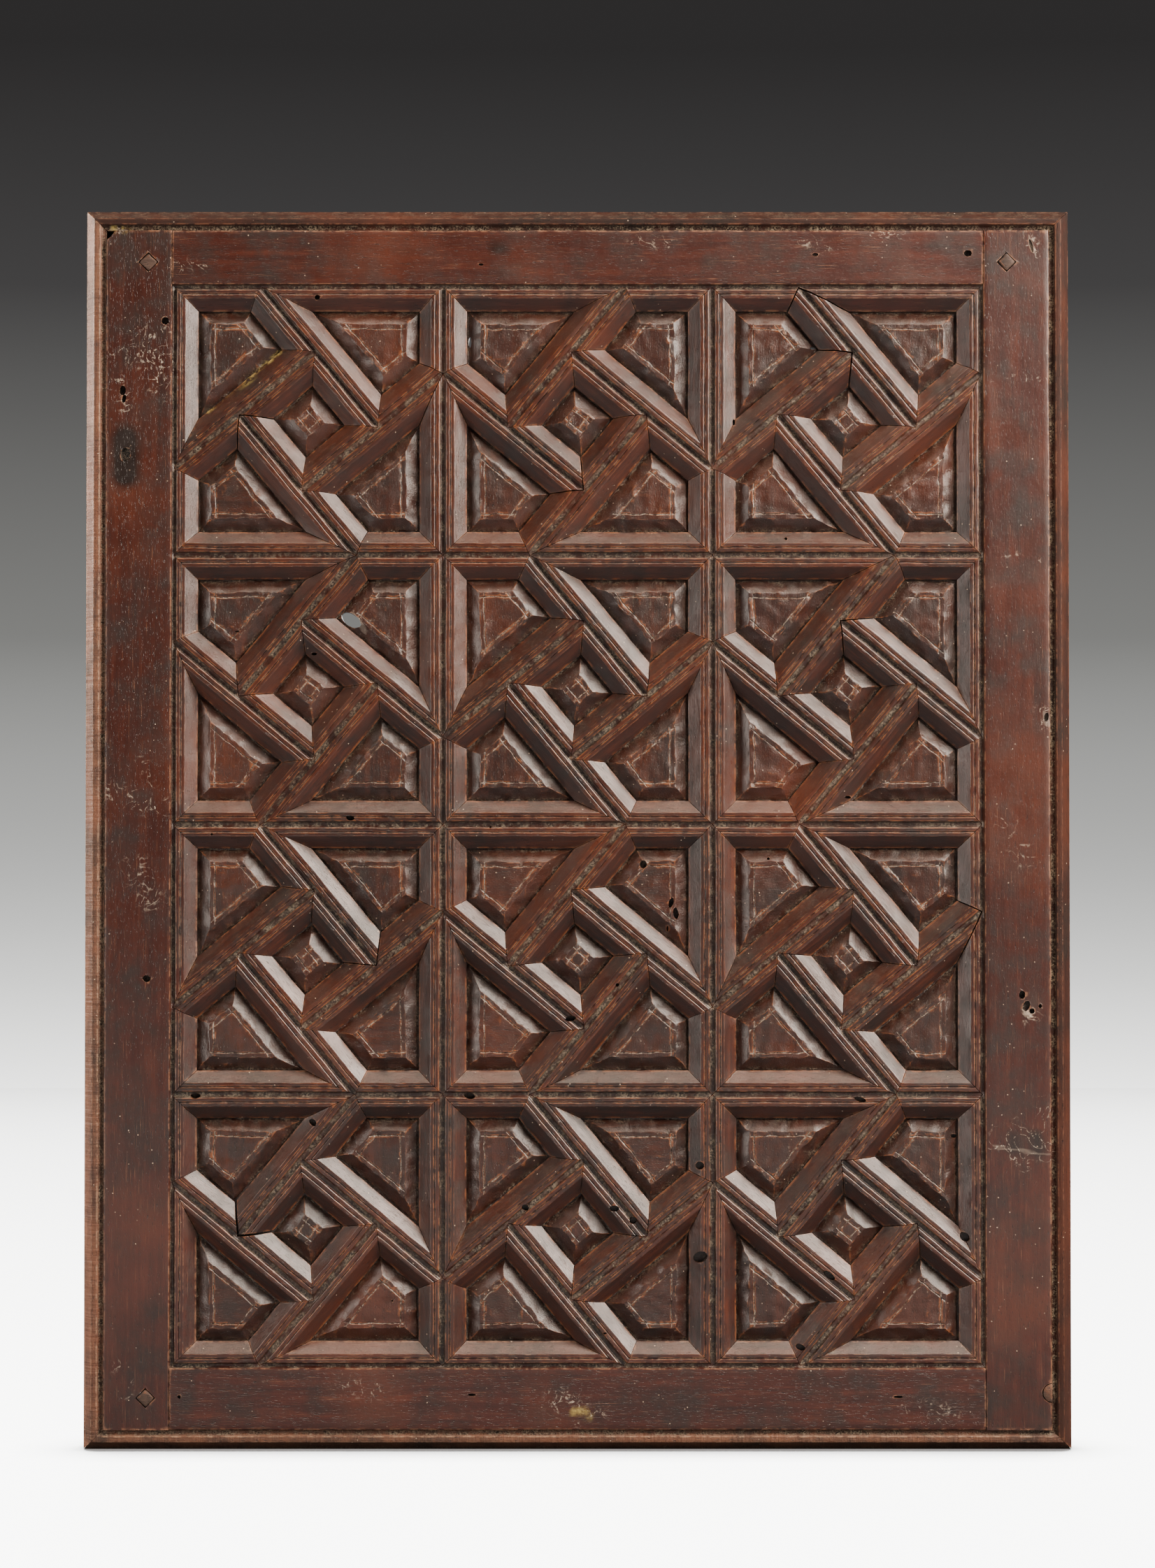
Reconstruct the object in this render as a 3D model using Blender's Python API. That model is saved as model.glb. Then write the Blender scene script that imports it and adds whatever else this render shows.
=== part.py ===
"""Framed wall panel of joined hardwood: twelve square compartments filled with pinwheel strapwork.

The field is three compartments wide and four high. Two muntins run from rail to rail and
nine short ledgers cross between them. In every compartment four moulded straps turn round
a small square boss, and neighbouring compartments are mirror images. Between the straps
lie four raised corner coffers. Every moulding is mitred where it meets another, down to
the mitre depth only, and below it the cores butt square. Tongues on the coffers and bosses
sit in grooves. Two stiles and two rails, tenoned and pegged, hold the field, and a mitred
outer moulding runs round them.

Units are metres. +X is to the right, +Z is up and the carved face looks along -Y. The
origin is on the back, at the panel's centre.
"""

import math

import bmesh
import bpy
from mathutils import Matrix, Vector

# The field of compartments
COLUMNS = 3
ROWS = 4
CELL = 0.1745  # side of a compartment, between the centre lines of its ledgers and muntins
NODE_OFFSET = 0.0563  # from a compartment's corner to the foot of a strap
STRAP_ANGLE = math.radians(50.3)  # between a strap and the grid line at its foot

# The frame
THICKNESS = 0.026
STILE_FLAT = 0.0425  # plain width of a stile
TOP_RAIL_FLAT = 0.035
BOTTOM_RAIL_FLAT = 0.0395
BORDER_QUIRK = 0.0014  # from the plain face to the centre line of the border's groove

# The section of every strap, ledger and muntin, measured from its centre line or from the face
HALF_WIDTH = 0.0153
RIDGE_REACH = 0.008  # outer edge of the flat ridges
GROOVE_REACH = 0.0022  # outer edge of the middle groove
RIDGE_DROP = 0.0005  # ridges lie this far below the frame's face
GROOVE_DEPTH = 0.0026
CHAMFER_FOOT = 0.0075  # depth of the chamfer's lower edge
MITRE_DEPTH = 0.0086  # mitred mouldings above, square cores below

# Coffers and bosses, with the grooves that hold them
TONGUE = 0.0045
TONGUE_THICKNESS = 0.005
TONGUE_DEPTH = 0.0102  # from the face to the front of the tongue
BEVEL_WIDTH = 0.0082
BEVEL_RISE = 0.0058
PANEL_PLAY = 0.0005  # between a coffer's or boss's field and the moulding round it

# Joints
JOINT_GAP = 0.0003
TENON_LENGTH = 0.026
TENON_THICKNESS = 0.009
TENON_DEPTH = 0.0085  # from the face to the front of a tenon
TENON_SHOULDER = 0.004
PEG_SIDE = 0.0084
PEG_PROUD = 0.0003
PEG_INSET = 0.0152  # from a stile's inner edge
PEG_FROM_END = 0.0205  # from a stile's end
PLUG_RADIUS = 0.0058
PLUG_DEPTH = 0.012
PLUG_FROM_END = 0.0237

# The outer moulding
MOULDING_WIDTH = 0.0135
MOULDING_QUIRK = 0.0038  # sunk channel beside the frame
QUIRK_DEPTH = 0.0026
MOULDING_CHAMFER = 0.0056
CHAMFER_DROP = 0.009

# The broken corner of the left stile
CHIP_WIDTH = 0.0037
CHIP_HEIGHT = 0.0068
CHIP_DEPTH = 0.0045

# Places worked out from the sizes above
FACE = -THICKNESS
FIELD_WIDTH = COLUMNS * CELL
FIELD_HEIGHT = ROWS * CELL
BORDER = BORDER_QUIRK + HALF_WIDTH  # width of the moulding stuck on a stile or rail
INNER_WIDTH = FIELD_WIDTH + 2 * (BORDER_QUIRK + STILE_FLAT)
INNER_HEIGHT = FIELD_HEIGHT + 2 * BORDER_QUIRK + TOP_RAIL_FLAT + BOTTOM_RAIL_FLAT
FIELD_LEFT = -FIELD_WIDTH / 2
FIELD_TOP = INNER_HEIGHT / 2 - TOP_RAIL_FLAT - BORDER_QUIRK
FIELD_BOTTOM = FIELD_TOP - FIELD_HEIGHT
STRAP_SHORT = (CELL - NODE_OFFSET) * math.sin(STRAP_ANGLE) - NODE_OFFSET * math.cos(STRAP_ANGLE)
STRAP_LENGTH = (CELL - NODE_OFFSET) * math.cos(STRAP_ANGLE) + NODE_OFFSET * math.sin(STRAP_ANGLE)
STUB_INSET = TONGUE + 0.0008  # a stub tenon stays clear of the coffers' tongues

RIGHT = Vector((1, 0))
UP = Vector((0, 1))


def clear_scene():
    for found in list(bpy.data.objects):
        bpy.data.objects.remove(found)


def make_material(name, colour, roughness):
    material = bpy.data.materials.new(name)
    material.use_nodes = True
    shader = material.node_tree.nodes["Principled BSDF"]
    shader.inputs["Base Color"].default_value = (*colour, 1)
    shader.inputs["Roughness"].default_value = roughness
    shader.inputs["Metallic"].default_value = 0
    return material


# Solids


def add_mesh(name, mesh):
    made = bpy.data.objects.new(name, mesh)
    bpy.context.scene.collection.objects.link(made)
    return made


def extrude_outline(name, points, thickness):
    """A flat outline in the XY plane, thickened evenly to both sides of it and closed."""
    curve = bpy.data.curves.new(name, "CURVE")
    curve.dimensions = "2D"
    curve.fill_mode = "NONE"
    curve.extrude = thickness / 2
    spline = curve.splines.new("POLY")
    spline.points.add(len(points) - 1)
    for point, place in zip(spline.points, points):
        point.co = (place[0], place[1], 0, 1)
    spline.use_cyclic_u = True
    drawn = add_mesh(name + " outline", curve)
    graph = bpy.context.evaluated_depsgraph_get()
    mesh = bpy.data.meshes.new_from_object(drawn.evaluated_get(graph))
    mesh.transform(drawn.matrix_world)
    bpy.data.objects.remove(drawn)
    shape = bmesh.new()
    shape.from_mesh(mesh)
    bmesh.ops.remove_doubles(shape, verts=shape.verts, dist=1e-6)
    bmesh.ops.holes_fill(shape, edges=shape.edges)
    bmesh.ops.recalc_face_normals(shape, faces=shape.faces)
    shape.to_mesh(mesh)
    shape.free()
    mesh.name = name
    return add_mesh(name, mesh)


def plan_solid(name, points, front, back):
    """A plan outline, given as x and z, standing from depth front to depth back behind the face."""
    solid = extrude_outline(name, points, back - front)
    middle = FACE + (front + back) / 2
    solid.data.transform(Matrix.Translation((0, middle, 0)) @ Matrix.Rotation(math.pi / 2, 4, "X"))
    return solid


def bar(name, section, length):
    """A section, given as x across and y deep, run along +Z from the origin."""
    solid = extrude_outline(name, section, length)
    solid.data.transform(Matrix.Translation((0, 0, length / 2)))
    return solid


def lay(solid, start, direction):
    """Turns a bar from +Z to a direction in the plan, and moves its foot to start."""
    turn = math.atan2(direction[0], direction[1])
    move = Matrix.Translation((start[0], 0, start[1]))
    solid.data.transform(move @ Matrix.Rotation(turn, 4, "Y"))
    return solid


def box(name, low, high):
    bpy.ops.mesh.primitive_cube_add(size=1)
    solid = bpy.context.object
    solid.name = name
    low, high = Vector(low), Vector(high)
    place = Matrix.Translation((low + high) / 2)
    solid.data.transform(place @ Matrix.Diagonal((*(high - low), 1)))
    return solid


def combine(solid, tool, operation):
    """Applies a Boolean with tool, which is then removed."""
    modifier = solid.modifiers.new(operation, "BOOLEAN")
    modifier.operation = operation
    modifier.object = tool
    graph = bpy.context.evaluated_depsgraph_get()
    mesh = bpy.data.meshes.new_from_object(solid.evaluated_get(graph))
    solid.modifiers.clear()
    solid.data = mesh
    bpy.data.objects.remove(tool)
    return solid


# Outlines in plan


def inset_outline(points, distance):
    """A convex outline, clockwise seen from the front, with every side moved in by distance."""
    points = [Vector(point) for point in points]
    lines = []
    for start, end in zip(points, points[1:] + points[:1]):
        along = (end - start).normalized()
        inward = Vector((along.y, -along.x))
        lines.append((start + inward * distance, along))
    moved = []
    for (first, along), (second, other) in zip(lines[-1:] + lines[:-1], lines):
        step = (second - first).cross(other) / along.cross(other)
        moved.append(first + along * step)
    return moved


def mitre_corner(point, direction, line, spread, reach):
    """The square corner between the two mitres of a member that leaves line at point.

    The mitres halve the angles between the member and either way along the line, so they
    always stand square to each other. A spread above 0 widens the corner on both sides.
    """
    one = (direction + line).normalized()
    other = (direction - line).normalized()
    apex = point - (one + other) * spread
    return [apex, apex + one * reach, apex + (one + other) * reach, apex + other * reach]


def mirrored_corners(corner, point, line):
    """A widened corner and its mirror image in line, as one outline that meets on line."""
    away = Vector((line.y, -line.x))
    apex, upper, far, lower = corner
    crossings = []
    for end in (upper, lower):
        share = (point - apex).dot(away) / (end - apex).dot(away)
        crossings.append(apex + (end - apex) * share)
    image = [end - 2 * away * (end - point).dot(away) for end in (lower, far, upper)]
    return [crossings[0], upper, far, lower, crossings[1]] + image


def turned(point, quarters):
    """A point or direction in a compartment, turned clockwise about its centre."""
    for _ in range(quarters % 4):
        point = Vector((point.y, -point.x))
    return point


def strap_foot():
    return Vector((NODE_OFFSET - CELL / 2, CELL / 2))


def strap_direction():
    return Vector((math.cos(STRAP_ANGLE), -math.sin(STRAP_ANGLE)))


def strap_crossing():
    """Where the next strap round runs into this one."""
    return strap_foot() + strap_direction() * STRAP_SHORT


def coffer_centre_lines():
    """The top left coffer's outline along the centre lines round it, clockwise from its corner."""
    corner = Vector((-CELL / 2, CELL / 2))
    return [corner, strap_foot(), strap_crossing(), turned(strap_foot(), 3)]


def boss_centre_lines():
    return [turned(strap_crossing(), quarters) for quarters in range(4)]


# Sections


def half_profile():
    """The moulding from its middle groove out to the chamfer's foot, as distance and y."""
    ridge = FACE + RIDGE_DROP
    return [
        (0, ridge + GROOVE_DEPTH),
        (GROOVE_REACH, ridge),
        (RIDGE_REACH, ridge),
        (HALF_WIDTH, FACE + CHAMFER_FOOT),
    ]


def tongue_groove(edge):
    """The groove in a side at x = edge, top to bottom, cut towards the middle."""
    top = FACE + TONGUE_DEPTH - JOINT_GAP
    bottom = top + TONGUE_THICKNESS + 2 * JOINT_GAP
    floor = edge - TONGUE - 2 * JOINT_GAP
    return [(edge, top), (floor, top), (floor, bottom), (edge, bottom)]


def full_section(side):
    """A member's section from one side's points, which start in the middle groove."""
    return side + [(-x, y) for x, y in reversed(side[1:])]


def grooved_section():
    """A ledger's or muntin's, with a tongue groove in both sides."""
    return full_section(half_profile() + tongue_groove(HALF_WIDTH) + [(HALF_WIDTH, 0)])


def strap_section():
    """A strap's before its middle groove is cut."""
    right = half_profile()[2:] + [(HALF_WIDTH, 0)]
    return right + [(-x, y) for x, y in reversed(right)]


def groove_section():
    """The middle groove as a cutter, its sides carried on above the ridges."""
    (_, bottom), (reach, ridge) = half_profile()[:2]
    above = 2 * ridge - bottom
    return [(0, bottom), (2 * reach, above), (-2 * reach, above)]


def frame_section(flat):
    """A stile or rail with its plain face from x = -flat to 0 and its stuck moulding beyond."""
    moulding = [(BORDER_QUIRK + x, y) for x, y in half_profile()]
    groove = tongue_groove(BORDER)
    plain = [(-flat, 0), (-flat, FACE), (0, FACE)]
    return plain + moulding + groove + [(BORDER, 0)]


# Straps, coffers and bosses


def cut_socket(solid, point, direction, line, both_sides=False):
    """Notches a moulding, down to the mitre depth, for the point of a member that meets it."""
    reach = 1.25 * HALF_WIDTH / math.sin(STRAP_ANGLE / 2)
    outline = mitre_corner(point, direction, line, JOINT_GAP / 2, reach)
    if both_sides:
        outline = mirrored_corners(outline, point, line)
    tool = plan_solid("socket", outline, -PEG_SIDE, MITRE_DEPTH + JOINT_GAP)
    return combine(solid, tool, "DIFFERENCE")


def point_end(solid, point, direction, line, border=HALF_WIDTH):
    """Mitres the end of a member to a point on line, and cuts its core back to the other's side."""
    reach = 2 * (FIELD_WIDTH + FIELD_HEIGHT)
    corner = mitre_corner(point, direction, line, -JOINT_GAP / 2, reach)
    tool = plan_solid("mitres", corner, -PEG_SIDE, 2 * THICKNESS)
    combine(solid, tool, "INTERSECT")
    inward = Vector((line.y, -line.x))
    inward *= 1 if inward.dot(direction) > 0 else -1
    shoulder = point + inward * (border + JOINT_GAP)
    side = line * 4 * CELL
    behind = inward * CELL
    outline = [shoulder + side, shoulder - side, shoulder - side - behind, shoulder + side - behind]
    tool = plan_solid("shoulder", outline, MITRE_DEPTH, 2 * THICKNESS)
    return combine(solid, tool, "DIFFERENCE")


def make_strap(quarters):
    """An ungrooved strap, from the mitred point over the grid line to the next strap's middle."""
    foot = turned(strap_foot(), quarters)
    direction = turned(strap_direction(), quarters)
    strap = bar("strap", strap_section(), STRAP_LENGTH + CELL)
    lay(strap, foot - direction * CELL, direction)
    return point_end(strap, foot, direction, turned(RIGHT, quarters))


def strap_groove(quarters):
    """The middle groove of a strap, which ends in the middle groove of the next."""
    foot = turned(strap_foot(), quarters)
    direction = turned(strap_direction(), quarters)
    groove = bar("groove", groove_section(), STRAP_LENGTH + CELL)
    return lay(groove, foot - direction * CELL, direction)


def raise_panel(name, centre_lines):
    """A tongued plate whose front rises by a bevel to a flat field."""
    plate = inset_outline(centre_lines, HALF_WIDTH - TONGUE)
    solid = plan_solid(name, plate, TONGUE_DEPTH, TONGUE_DEPTH + TONGUE_THICKNESS)
    shape = bmesh.new()
    shape.from_mesh(solid.data)
    front = [face for face in shape.faces if face.normal.y < -0.9]
    bmesh.ops.inset_region(shape, faces=front, thickness=TONGUE + PANEL_PLAY, use_even_offset=True)
    bmesh.ops.inset_region(
        shape, faces=front, thickness=BEVEL_WIDTH, depth=BEVEL_RISE, use_even_offset=True
    )
    shape.to_mesh(solid.data)
    shape.free()
    return solid


def make_strapwork(name):
    """The four straps of a compartment with the four coffers that they hold."""
    strapwork = make_strap(0)
    strapwork.name = name
    for quarters in (1, 2, 3):
        combine(strapwork, make_strap(quarters), "UNION")
    for quarters in range(4):
        combine(strapwork, strap_groove(quarters), "DIFFERENCE")
    for quarters in range(4):
        outline = [turned(point, quarters) for point in coffer_centre_lines()]
        combine(strapwork, raise_panel("coffer", outline), "UNION")
    groove = inset_outline(boss_centre_lines(), HALF_WIDTH - TONGUE - 2 * JOINT_GAP)
    front = TONGUE_DEPTH - JOINT_GAP
    back = TONGUE_DEPTH + TONGUE_THICKNESS + JOINT_GAP
    combine(strapwork, plan_solid("boss groove", groove, front, back), "DIFFERENCE")
    return clean(strapwork)


def mirrored_mesh(mesh):
    copy = mesh.copy()
    copy.transform(Matrix.Scale(-1, 4, (1, 0, 0)))
    copy.flip_normals()
    return copy


# Where things stand in the field


def is_mirrored(row, column):
    return (row + column) % 2 == 1


def cell_centre(row, column):
    return Vector((FIELD_LEFT + (column + 0.5) * CELL, FIELD_TOP - (row + 0.5) * CELL))


def feet_on_line(across, index):
    """Where straps stand on a grid line, each with its direction below or right of that line.

    A line across lies above row index, and a line up and down lies left of column index.
    The pattern is mirrored in every line, so the straps on the other side share the feet.
    """
    feet = []
    for step in range(COLUMNS if across else ROWS):
        row, column = (index, step) if across else (step, index)
        mirrored = is_mirrored(row, column)
        quarters = 0 if across else (1 if mirrored else 3)
        foot = turned(strap_foot(), quarters)
        direction = turned(strap_direction(), quarters)
        if mirrored:
            foot.x, direction.x = -foot.x, -direction.x
        feet.append((foot + cell_centre(row, column), direction))
    return feet


# Ledgers and muntins


def add_stub(solid, place, direction):
    """A stub tenon on a member's core, for the groove in the side that it butts against."""
    reach = direction * (HALF_WIDTH - TONGUE)
    root = direction * (HALF_WIDTH + 2 * TONGUE)
    side = Vector((direction.y, -direction.x)) * (HALF_WIDTH - STUB_INSET)
    outline = [place + reach - side, place + root - side, place + root + side, place + reach + side]
    back = TONGUE_DEPTH + TONGUE_THICKNESS
    return combine(solid, plan_solid("stub", outline, TONGUE_DEPTH, back), "UNION")


def make_member(name, start, end, sockets):
    """A ledger or muntin from start to end, notched for the members that meet it."""
    direction = (end - start).normalized()
    line = Vector((direction.y, direction.x))
    length = (end - start).length
    member = bar(name, grooved_section(), length + 2 * CELL)
    lay(member, start - direction * CELL, direction)
    for place, way in ((start, direction), (end, -direction)):
        point_end(member, place, way, line)
        add_stub(member, place, way)
    for place, way in sockets:
        cut_socket(member, place, way, direction, both_sides=True)
    return clean(member)


def make_ledger(row, column):
    start = Vector((FIELD_LEFT + column * CELL, FIELD_TOP - (row + 1) * CELL))
    end = start + RIGHT * CELL
    feet = [foot for foot in feet_on_line(True, row + 1) if start.x < foot[0].x < end.x]
    return make_member(f"ledger_r{row + 1}_c{column + 1}", start, end, feet)


def make_muntin(name, index):
    end = Vector((FIELD_LEFT + index * CELL, FIELD_TOP))
    start = end - UP * FIELD_HEIGHT
    sockets = feet_on_line(False, index)
    sockets += [(end - UP * row * CELL, RIGHT) for row in range(1, ROWS)]
    return make_member(name, start, end, sockets)


# The frame


def stile_joints(side):
    """For each end of a stile: the z of its end, the way inwards and the rail's plain width."""
    half = INNER_HEIGHT / 2
    return [(half, -1, TOP_RAIL_FLAT), (-half, 1, BOTTOM_RAIL_FLAT)]


def tenon_box(name, side, end, way, flat, play):
    """A rail's tenon in a stile, or with some play its mortise."""
    shoulder = side * (INNER_WIDTH / 2 - STILE_FLAT)
    near = shoulder - side * 2 * TENON_SHOULDER
    far = shoulder + side * (TENON_LENGTH + play)
    outer = end + way * (TENON_SHOULDER - play)
    inner = end + way * (flat - TENON_SHOULDER + play)
    front = FACE + TENON_DEPTH - play
    back = front + TENON_THICKNESS + 2 * play
    low = (min(near, far), front, min(outer, inner))
    high = (max(near, far), back, max(outer, inner))
    return box(name, low, high)


def peg_solid(name, side, end, way, play):
    """A square peg set cornerwise, or with some play its hole."""
    half = PEG_SIDE / math.sqrt(2) + play * math.sqrt(2)
    middle = Vector((side * (INNER_WIDTH / 2 - STILE_FLAT + PEG_INSET), end + way * PEG_FROM_END))
    outline = [middle + UP * half, middle + RIGHT * half, middle - UP * half, middle - RIGHT * half]
    through = PEG_SIDE if play else 0
    return plan_solid(name, outline, -PEG_PROUD - through, THICKNESS + through)


def plug_solid(name, play):
    """The round plug at the right stile's outer edge, with the moulding's side as its flat."""
    bpy.ops.mesh.primitive_cylinder_add(
        vertices=24, radius=PLUG_RADIUS + play, depth=2 * (PLUG_DEPTH + play)
    )
    plug = bpy.context.object
    plug.name = name
    edge = INNER_WIDTH / 2
    height = PLUG_FROM_END - INNER_HEIGHT / 2
    plug.data.transform(Matrix.Rotation(math.pi / 2, 4, "X"))
    plug.data.transform(Matrix.Translation((edge, FACE, height)))
    if play:
        return plug
    reach = 2 * PLUG_RADIUS
    keep = box("plug limits", (edge - reach, FACE, height - reach), (edge, 0, height + reach))
    return combine(plug, keep, "INTERSECT")


def make_stile(name, side):
    """A stile of the full height, its stuck moulding mitred to those of the rails."""
    stile = bar(name, frame_section(STILE_FLAT), INNER_HEIGHT)
    flat_edge = INNER_WIDTH / 2 - STILE_FLAT
    inner_edge = flat_edge - BORDER
    outer_edge = INNER_WIDTH / 2
    if side > 0:
        stile.data.transform(Matrix.Scale(-1, 4, (1, 0, 0)))
        stile.data.flip_normals()
    stile.data.transform(Matrix.Translation((side * flat_edge, 0, -INNER_HEIGHT / 2)))
    top = INNER_HEIGHT / 2 - TOP_RAIL_FLAT
    bottom = BOTTOM_RAIL_FLAT - INNER_HEIGHT / 2
    outline = [
        (outer_edge + CELL, INNER_HEIGHT),
        (flat_edge, INNER_HEIGHT),
        (flat_edge, top),
        (inner_edge, top - BORDER),
        (inner_edge, bottom + BORDER),
        (flat_edge, bottom),
        (flat_edge, -INNER_HEIGHT),
        (outer_edge + CELL, -INNER_HEIGHT),
    ]
    outline = [(side * x, z) for x, z in outline]
    combine(stile, plan_solid("stile mitres", outline, -PEG_SIDE, 2 * THICKNESS), "INTERSECT")
    column = COLUMNS if side > 0 else 0
    for foot, direction in feet_on_line(False, column):
        direction.x *= -side
        cut_socket(stile, foot, direction, UP)
    for row in range(1, ROWS):
        place = Vector((side * FIELD_WIDTH / 2, FIELD_TOP - row * CELL))
        cut_socket(stile, place, -side * RIGHT, UP)
    for end, way, flat in stile_joints(side):
        combine(stile, tenon_box("mortise", side, end, way, flat, JOINT_GAP), "DIFFERENCE")
        if side < 0 or way < 0:
            combine(stile, peg_solid("peg hole", side, end, way, JOINT_GAP), "DIFFERENCE")
    return stile


def chip_corner(stile):
    """Breaks the outer top corner of the left stile's face away."""
    edge, top = -INNER_WIDTH / 2, INNER_HEIGHT / 2
    step = CHIP_WIDTH
    outline = [
        (edge - step, top + step),
        (edge + 2 * CHIP_WIDTH, top + step),
        (edge + CHIP_WIDTH, top - 0.3 * CHIP_HEIGHT),
        (edge + 0.5 * CHIP_WIDTH, top - 0.75 * CHIP_HEIGHT),
        (edge - step, top - 1.1 * CHIP_HEIGHT),
    ]
    return combine(stile, plan_solid("chip", outline, -CHIP_DEPTH, CHIP_DEPTH), "DIFFERENCE")


def make_rail(name, way, flat):
    """A rail between the stiles; way is the sign of z from the rail towards the field."""
    length = INNER_WIDTH
    rail = bar(name, frame_section(flat), length)
    rail.data.transform(Matrix.Translation((0, 0, -length / 2)))
    # The section's x runs towards the field, and the bar lies along X.
    rail.data.transform(Matrix(((0, 0, 1, 0), (0, 1, 0, 0), (way, 0, 0, 0), (0, 0, 0, 1))))
    if way < 0:
        shift = FIELD_TOP + BORDER_QUIRK
    else:
        shift = FIELD_BOTTOM - BORDER_QUIRK
        rail.data.flip_normals()
    rail.data.transform(Matrix.Translation((0, 0, shift)))
    end = INNER_WIDTH / 2 - STILE_FLAT - JOINT_GAP * math.sqrt(2)
    outline = [
        (-end, shift - way * CELL),
        (end, shift - way * CELL),
        (end, shift),
        (end - BORDER, shift + way * BORDER),
        (BORDER - end, shift + way * BORDER),
        (-end, shift),
    ]
    combine(rail, plan_solid("rail mitres", outline, -PEG_SIDE, 2 * THICKNESS), "INTERSECT")
    for foot, direction in feet_on_line(True, 0 if way < 0 else ROWS):
        direction.y *= -way
        cut_socket(rail, foot, direction, RIGHT)
    for index in range(1, COLUMNS):
        place = Vector((FIELD_LEFT + index * CELL, shift + way * BORDER_QUIRK))
        cut_socket(rail, place, UP * way, RIGHT)
    outer = -way * INNER_HEIGHT / 2
    for side in (-1, 1):
        combine(rail, tenon_box("tenon", side, outer, way, flat, 0), "UNION")
        if side < 0 or way < 0:
            combine(rail, peg_solid("peg hole", side, outer, way, JOINT_GAP), "DIFFERENCE")
    return rail


def moulding_section():
    """The outer moulding, with x from its outer side towards the frame."""
    inner = MOULDING_WIDTH - JOINT_GAP
    lip = MOULDING_WIDTH - MOULDING_QUIRK
    return [
        (0, 0),
        (0, FACE + CHAMFER_DROP),
        (MOULDING_CHAMFER, FACE),
        (lip, FACE),
        (lip + 0.2 * MOULDING_QUIRK, FACE + 0.8 * QUIRK_DEPTH),
        (inner, FACE + QUIRK_DEPTH),
        (inner, 0),
    ]


def make_moulding(name, quarters):
    """One side of the outer moulding, mitred at both ends. Quarters turn clockwise from the top."""
    upright = quarters % 2 == 1
    half_length = (INNER_HEIGHT if upright else INNER_WIDTH) / 2 + MOULDING_WIDTH
    out = (INNER_WIDTH if upright else INNER_HEIGHT) / 2 + MOULDING_WIDTH
    strip = bar(name, moulding_section(), 2 * half_length)
    # From here the strip runs along X at the top: its section's x points down.
    strip.data.transform(Matrix.Translation((0, 0, -half_length)))
    strip.data.transform(Matrix(((0, 0, 1, 0), (0, 1, 0, 0), (-1, 0, 0, out), (0, 0, 0, 1))))
    cut = half_length - JOINT_GAP / 2
    wide = cut + CELL
    outline = [
        (-wide, out + CELL),
        (wide, out + CELL),
        (cut - MOULDING_WIDTH, out - MOULDING_WIDTH),
        (MOULDING_WIDTH - cut, out - MOULDING_WIDTH),
    ]
    combine(strip, plan_solid("strip mitres", outline, -PEG_SIDE, 2 * THICKNESS), "INTERSECT")
    strip.data.transform(Matrix.Rotation(quarters * math.pi / 2, 4, "Y"))
    return strip


def clean(solid):
    """Welds the slivers that Booleans leave and joins the flat faces that they split."""
    shape = bmesh.new()
    shape.from_mesh(solid.data)
    bmesh.ops.remove_doubles(shape, verts=shape.verts, dist=1e-5)
    bmesh.ops.dissolve_limit(shape, angle_limit=2e-3, verts=shape.verts, edges=shape.edges)
    shape.to_mesh(solid.data)
    shape.free()
    return solid


def finish(solid, collection, material):
    """Files a finished piece under its collection, with its finish."""
    solid.data.materials.clear()
    solid.data.materials.append(material)
    for old in list(solid.users_collection):
        old.objects.unlink(solid)
    collection.objects.link(solid)


def main():
    clear_scene()
    panel = bpy.data.collections.new("wall panel")
    bpy.context.scene.collection.children.link(panel)
    frame_wood = make_material("waxed walnut, frame", (0.065, 0.021, 0.014), 0.42)
    moulding_wood = make_material("stained walnut, outer moulding", (0.078, 0.031, 0.018), 0.5)
    strap_wood = make_material("waxed walnut, mouldings", (0.088, 0.03, 0.017), 0.4)
    coffer_wood = make_material("waxed walnut, bosses", (0.056, 0.022, 0.016), 0.45)
    peg_wood = make_material("bare end grain, pegs", (0.1, 0.065, 0.045), 0.75)

    strapwork = make_strapwork("strapwork")
    boss = raise_panel("boss", boss_centre_lines())
    hand = {False: (strapwork.data, boss.data)}
    hand[True] = tuple(mirrored_mesh(mesh) for mesh in hand[False])
    for row in range(ROWS):
        for column in range(COLUMNS):
            place = cell_centre(row, column)
            kinds = (("strapwork", strap_wood), ("boss", coffer_wood))
            for (kind, wood), mesh in zip(kinds, hand[is_mirrored(row, column)]):
                piece = add_mesh(f"{kind}_r{row + 1}_c{column + 1}", mesh)
                finish(piece, panel, wood)
                piece.location = (place.x, 0, place.y)
    bpy.data.objects.remove(strapwork)
    bpy.data.objects.remove(boss)

    for row in range(ROWS - 1):
        for column in range(COLUMNS):
            finish(make_ledger(row, column), panel, strap_wood)
    for index in range(1, COLUMNS):
        finish(make_muntin(f"muntin_{index}", index), panel, strap_wood)

    left = make_stile("stile_left", -1)
    finish(chip_corner(left), panel, frame_wood)
    right = make_stile("stile_right", 1)
    combine(right, plug_solid("plug hole", JOINT_GAP), "DIFFERENCE")
    finish(right, panel, frame_wood)
    finish(make_rail("rail_top", -1, TOP_RAIL_FLAT), panel, frame_wood)
    finish(make_rail("rail_bottom", 1, BOTTOM_RAIL_FLAT), panel, frame_wood)
    for name, side, way in (
        ("peg_top_left", -1, -1),
        ("peg_top_right", 1, -1),
        ("peg_bottom_left", -1, 1),
    ):
        finish(peg_solid(name, side, -way * INNER_HEIGHT / 2, way, 0), panel, peg_wood)
    finish(plug_solid("plug_bottom_right", 0), panel, peg_wood)
    for quarters, name in enumerate(("top", "right", "bottom", "left")):
        finish(make_moulding(f"moulding_{name}", quarters), panel, moulding_wood)


main()
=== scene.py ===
import functools
import math
import random

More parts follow.
